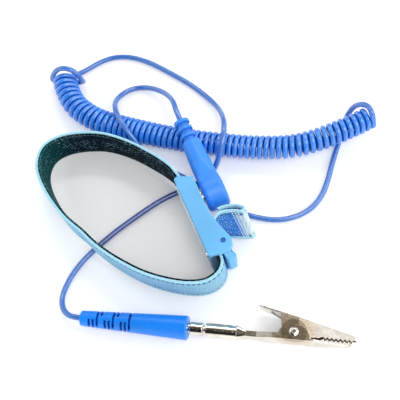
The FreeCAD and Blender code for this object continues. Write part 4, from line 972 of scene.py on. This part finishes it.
class STRAP_OT_cord(bpy.types.Operator):
    """Lead from the connector, curls and lead to the plug, as one unbroken cord"""
    bl_idname = "strap.cord"
    bl_label = "Cord"

    def execute(self, context):
        sizes = context.scene.strap_cord
        curls = curl_points(sizes)
        curls.reverse()
        points = [Vector(p) for p in CONNECTOR_LEAD] + curls + [Vector(p) for p in PLUG_LEAD]
        points += [in_plug_frame(-SLEEVE_LENGTH - CORD_BEHIND, 0, 0),
                   in_plug_frame(-SLEEVE_LENGTH + CORD_INSIDE, 0, 0)]
        curve = route("cord", points, CORD_STEPS)
        curve.bevel_depth = sizes.diameter / 2
        curve.bevel_resolution = 2
        curve.use_fill_caps = True
        curve.materials.append(cord_jacket(
            context.scene.strap_finishes.cord, len(CONNECTOR_LEAD) / len(points),
            (len(PLUG_LEAD) + 2) / len(points)))
        piece = new_object("cord", curve)
        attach(piece, "cord_set")
        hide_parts("lead_to_connector", "curly_cord", "lead_to_plug")
        return {"FINISHED"}


class STRAP_OT_band(bpy.types.Operator):
    """Weave the elastic band with its ribs, the conductive lining and the stitches"""
    bl_idname = "strap.band"
    bl_label = "Band"

    def execute(self, context):
        sizes = context.scene.strap_band
        width = sizes.width / MM
        pairs, lining_end = band_line(width)
        elastic_line = evenly(pairs, sizes.rib_spacing / MM / STATIONS_PER_RIB)
        elastic = new_object("elastic_weave", strip_mesh("elastic_weave", elastic_line,
                                                         elastic_outline(width)))
        recalculate(elastic.data)
        tree, spacing, height, material = rib_nodes()
        ribs = elastic.modifiers.new("ribs", "NODES")
        ribs.node_group = tree
        ribs[spacing] = sizes.rib_spacing
        ribs[height] = sizes.rib_height
        ribs[material] = woven_elastic(*self.tail_places(pairs, lining_end))
        settle(elastic)
        lining_line = evenly(pairs[:lining_end + 1], LINING_STATION)
        section = rounded_outline(*LINING_FACES, LINING_MARGIN, width - LINING_MARGIN, LINING_CORNER)
        lining = new_object("conductive_lining_weave", strip_mesh(
            "conductive_lining_weave", lining_line, section))
        recalculate(lining.data)
        lining.data.materials.append(conductive_weave())
        for piece, cad, slot in ((elastic, "elastic_band", "weave"),
                                 (lining, "conductive_lining", "lining")):
            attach(piece, "wristband")
            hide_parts(cad)
        self.sew(sizes, pairs, lining_end, width)
        return {"FINISHED"}

    def tail_places(self, pairs, lining_end):
        """How far along the strip, in mm, the tail starts and folds back."""
        tail_start = evenly(pairs[:lining_end + 1], FOLD_STATION)[-1][2]
        tail = evenly(pairs, FOLD_STATION)
        fold = max(tail, key=lambda place: place[0].x + place[1].x)[2]
        return tail_start, fold

    def sew(self, sizes, pairs, lining_end, width):
        """Stitch lines: along the lining's edges, and across the tail's folded end."""
        tree, spacing, length, radius, material = stitch_nodes()
        seam_thread = sewing_thread("spun polyester thread, grey", "#56707A")
        tail_thread = sewing_thread("spun polyester thread, pale blue", "#D8EEF4")
        lining = evenly(pairs[:lining_end + 1], SEAM_STATION)
        margin, outward = LINING_SEAM
        rows = [offset_line(lining, height, outward) for height in (margin, width - margin)]
        tail = evenly(pairs, TAIL_STATION)
        fold = max(range(len(tail)), key=lambda index: tail[index][0].x + tail[index][1].x)
        for name, lines, gap, (long, thick), thread in (
                ("lining_stitches", rows, sizes.stitch_spacing / MM, SEAM_STITCH, seam_thread),
                ("tail_stitches", across_lines(tail, fold, width), TAIL_STITCH_SPACING, TAIL_STITCH,
                 tail_thread)):
            mesh = bpy.data.meshes.new(name)
            points, edges = [], []
            for line in lines:
                start = len(points)
                points += [point * MM for point in line]
                edges += [(index, index + 1) for index in range(start, len(points) - 1)]
            mesh.from_pydata(points, edges, [])
            piece = new_object(name, mesh)
            sewn = piece.modifiers.new("stitches", "NODES")
            sewn.node_group = tree
            sewn[spacing] = gap * MM
            sewn[length] = long * MM
            sewn[radius] = thick * MM
            sewn[material] = thread
            settle(piece)
            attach(piece, "wristband")


def offset_line(line, height, outward):
    """Line along the strip at a height, so far out from its middle."""
    return [low + (high - low).normalized() * height + outward_side(line, index) * outward
            for index, (low, high, _) in enumerate(line)]


def across_lines(line, fold, width):
    """Lines across the strip's width, so many stations before its fold."""
    result = []
    for row in TAIL_ROWS:
        index = fold - row
        result.append([offset_line(line[index - 1:index + 2], height, TAIL_ROW_OUT)[1]
                       for height in (TAIL_ROW_MARGIN, width * 0.33, width * 0.67,
                                      width - TAIL_ROW_MARGIN)])
    return result


class STRAP_OT_buckle(bpy.types.Operator):
    """Finish the buckle, its cam lever, pin, contact plate and snap stud"""
    bl_idname = "strap.buckle"
    bl_label = "Buckle"

    def execute(self, context):
        finish(["buckle_body", "cam_lever"], moulded_plastic(
            "moulded ABS, light blue", context.scene.strap_finishes.buckle, 0.34, 0.5))
        finish(["contact_plate"], plated_metal(
            "brushed stainless steel", "#F4F8FA", "#DDE4E8", 0.24, 0.25, (8.0, 0.6, 8.0)))
        finish(["lever_pin"], moulded_plastic("lacquered steel pin, blue", linear("#3A76C4"), 0.3, 0.5))
        finish(["snap_stud", "snap_socket"], plated_metal(
            "nickel plated brass", "#DCD6CC", "#C9C2B6", 0.16, 0.4))
        return {"FINISHED"}


class STRAP_OT_connector(bpy.types.Operator):
    """Finish the snap connector, its strain relief and what it holds"""
    bl_idname = "strap.connector"
    bl_label = "Connector"

    def execute(self, context):
        blue = context.scene.strap_finishes.connector
        finish(["connector_housing"], moulded_plastic("moulded ABS, mid blue", blue, 0.36, 0.5))
        finish(["strain_relief"], moulded_plastic("moulded soft PVC, mid blue", blue, 0.45, 0.6, 1.0))
        finish(["socket_spring", "pin_spring_cage", "jaw_spring"], plated_metal(
            "drawn spring steel", "#A9ABAC", "#8C8E90", 0.28, 0.2))
        finish(["safety_resistor"], moulded_plastic("lacquered ceramic", linear("#74B0D0"), 0.3, 0.6))
        finish(["resistor_front_wire", "resistor_rear_wire"], plated_metal(
            "tinned copper wire", "#D8D8D6", "#BDBDBB", 0.3, 0.3))
        return {"FINISHED"}


class STRAP_OT_plug(bpy.types.Operator):
    """Finish the plug's sleeve and pin"""
    bl_idname = "strap.plug"
    bl_label = "Plug"

    def execute(self, context):
        finish(["plug_sleeve"], moulded_plastic(
            "moulded polypropylene, blue", context.scene.strap_finishes.plug, 0.3, 0.5))
        finish(["plug_pin"], plated_metal("nickel plated pin", "#E4DFD6", "#D0CAC0", 0.12, 0.4))
        return {"FINISHED"}


class STRAP_OT_clip(bpy.types.Operator):
    """Finish the spring clip"""
    bl_idname = "strap.clip"
    bl_label = "Clip"

    def execute(self, context):
        finish(["clip_base_jaw", "clip_upper_jaw"], plated_metal(
            "nickel plated sheet steel, stamped", "#F2EBE1", "#D8CFC2", 0.12, 0.5, (0.6, 2.0, 2.0),
            PLUG_TURN, in_plug_frame(*RIVET_PLACE)))
        finish(["jaw_rivet"], plated_metal(
            "nickel plated rivet", "#F2EEE6", "#E2DCD2", 0.14, 0.4, hollow=in_plug_frame(*RIVET_PLACE)))
        return {"FINISHED"}


OPERATORS = (STRAP_OT_stage, STRAP_OT_cord, STRAP_OT_band, STRAP_OT_buckle, STRAP_OT_connector,
             STRAP_OT_plug, STRAP_OT_clip)


class STRAP_PT_panel(bpy.types.Panel):
    """Sizes of the strap and the steps that make it"""
    bl_idname = "STRAP_PT_panel"
    bl_label = "Grounding wrist strap"
    bl_space_type = "VIEW_3D"
    bl_region_type = "UI"
    bl_category = "Strap"

    def draw(self, context):
        layout = self.layout
        for group in (context.scene.strap_band, context.scene.strap_cord):
            for name in group.bl_rna.properties.keys():
                if name not in ("rna_type", "name"):
                    layout.prop(group, name)
        for step in OPERATORS:
            layout.operator(step.bl_idname)


CLASSES = (BandSizes, CordSizes, Finishes, *OPERATORS, STRAP_PT_panel)


def register():
    for made in CLASSES:
        bpy.utils.register_class(made)
    bpy.types.Scene.strap_band = PointerProperty(type=BandSizes)
    bpy.types.Scene.strap_cord = PointerProperty(type=CordSizes)
    bpy.types.Scene.strap_finishes = PointerProperty(type=Finishes)


def unregister():
    del bpy.types.Scene.strap_band
    del bpy.types.Scene.strap_cord
    del bpy.types.Scene.strap_finishes
    for made in reversed(CLASSES):
        bpy.utils.unregister_class(made)


def main():
    register()
    for name in ("stage", "cord", "band", "buckle", "connector", "plug", "clip"):
        getattr(bpy.ops.strap, name)()


if __name__ == "__main__":
    main()
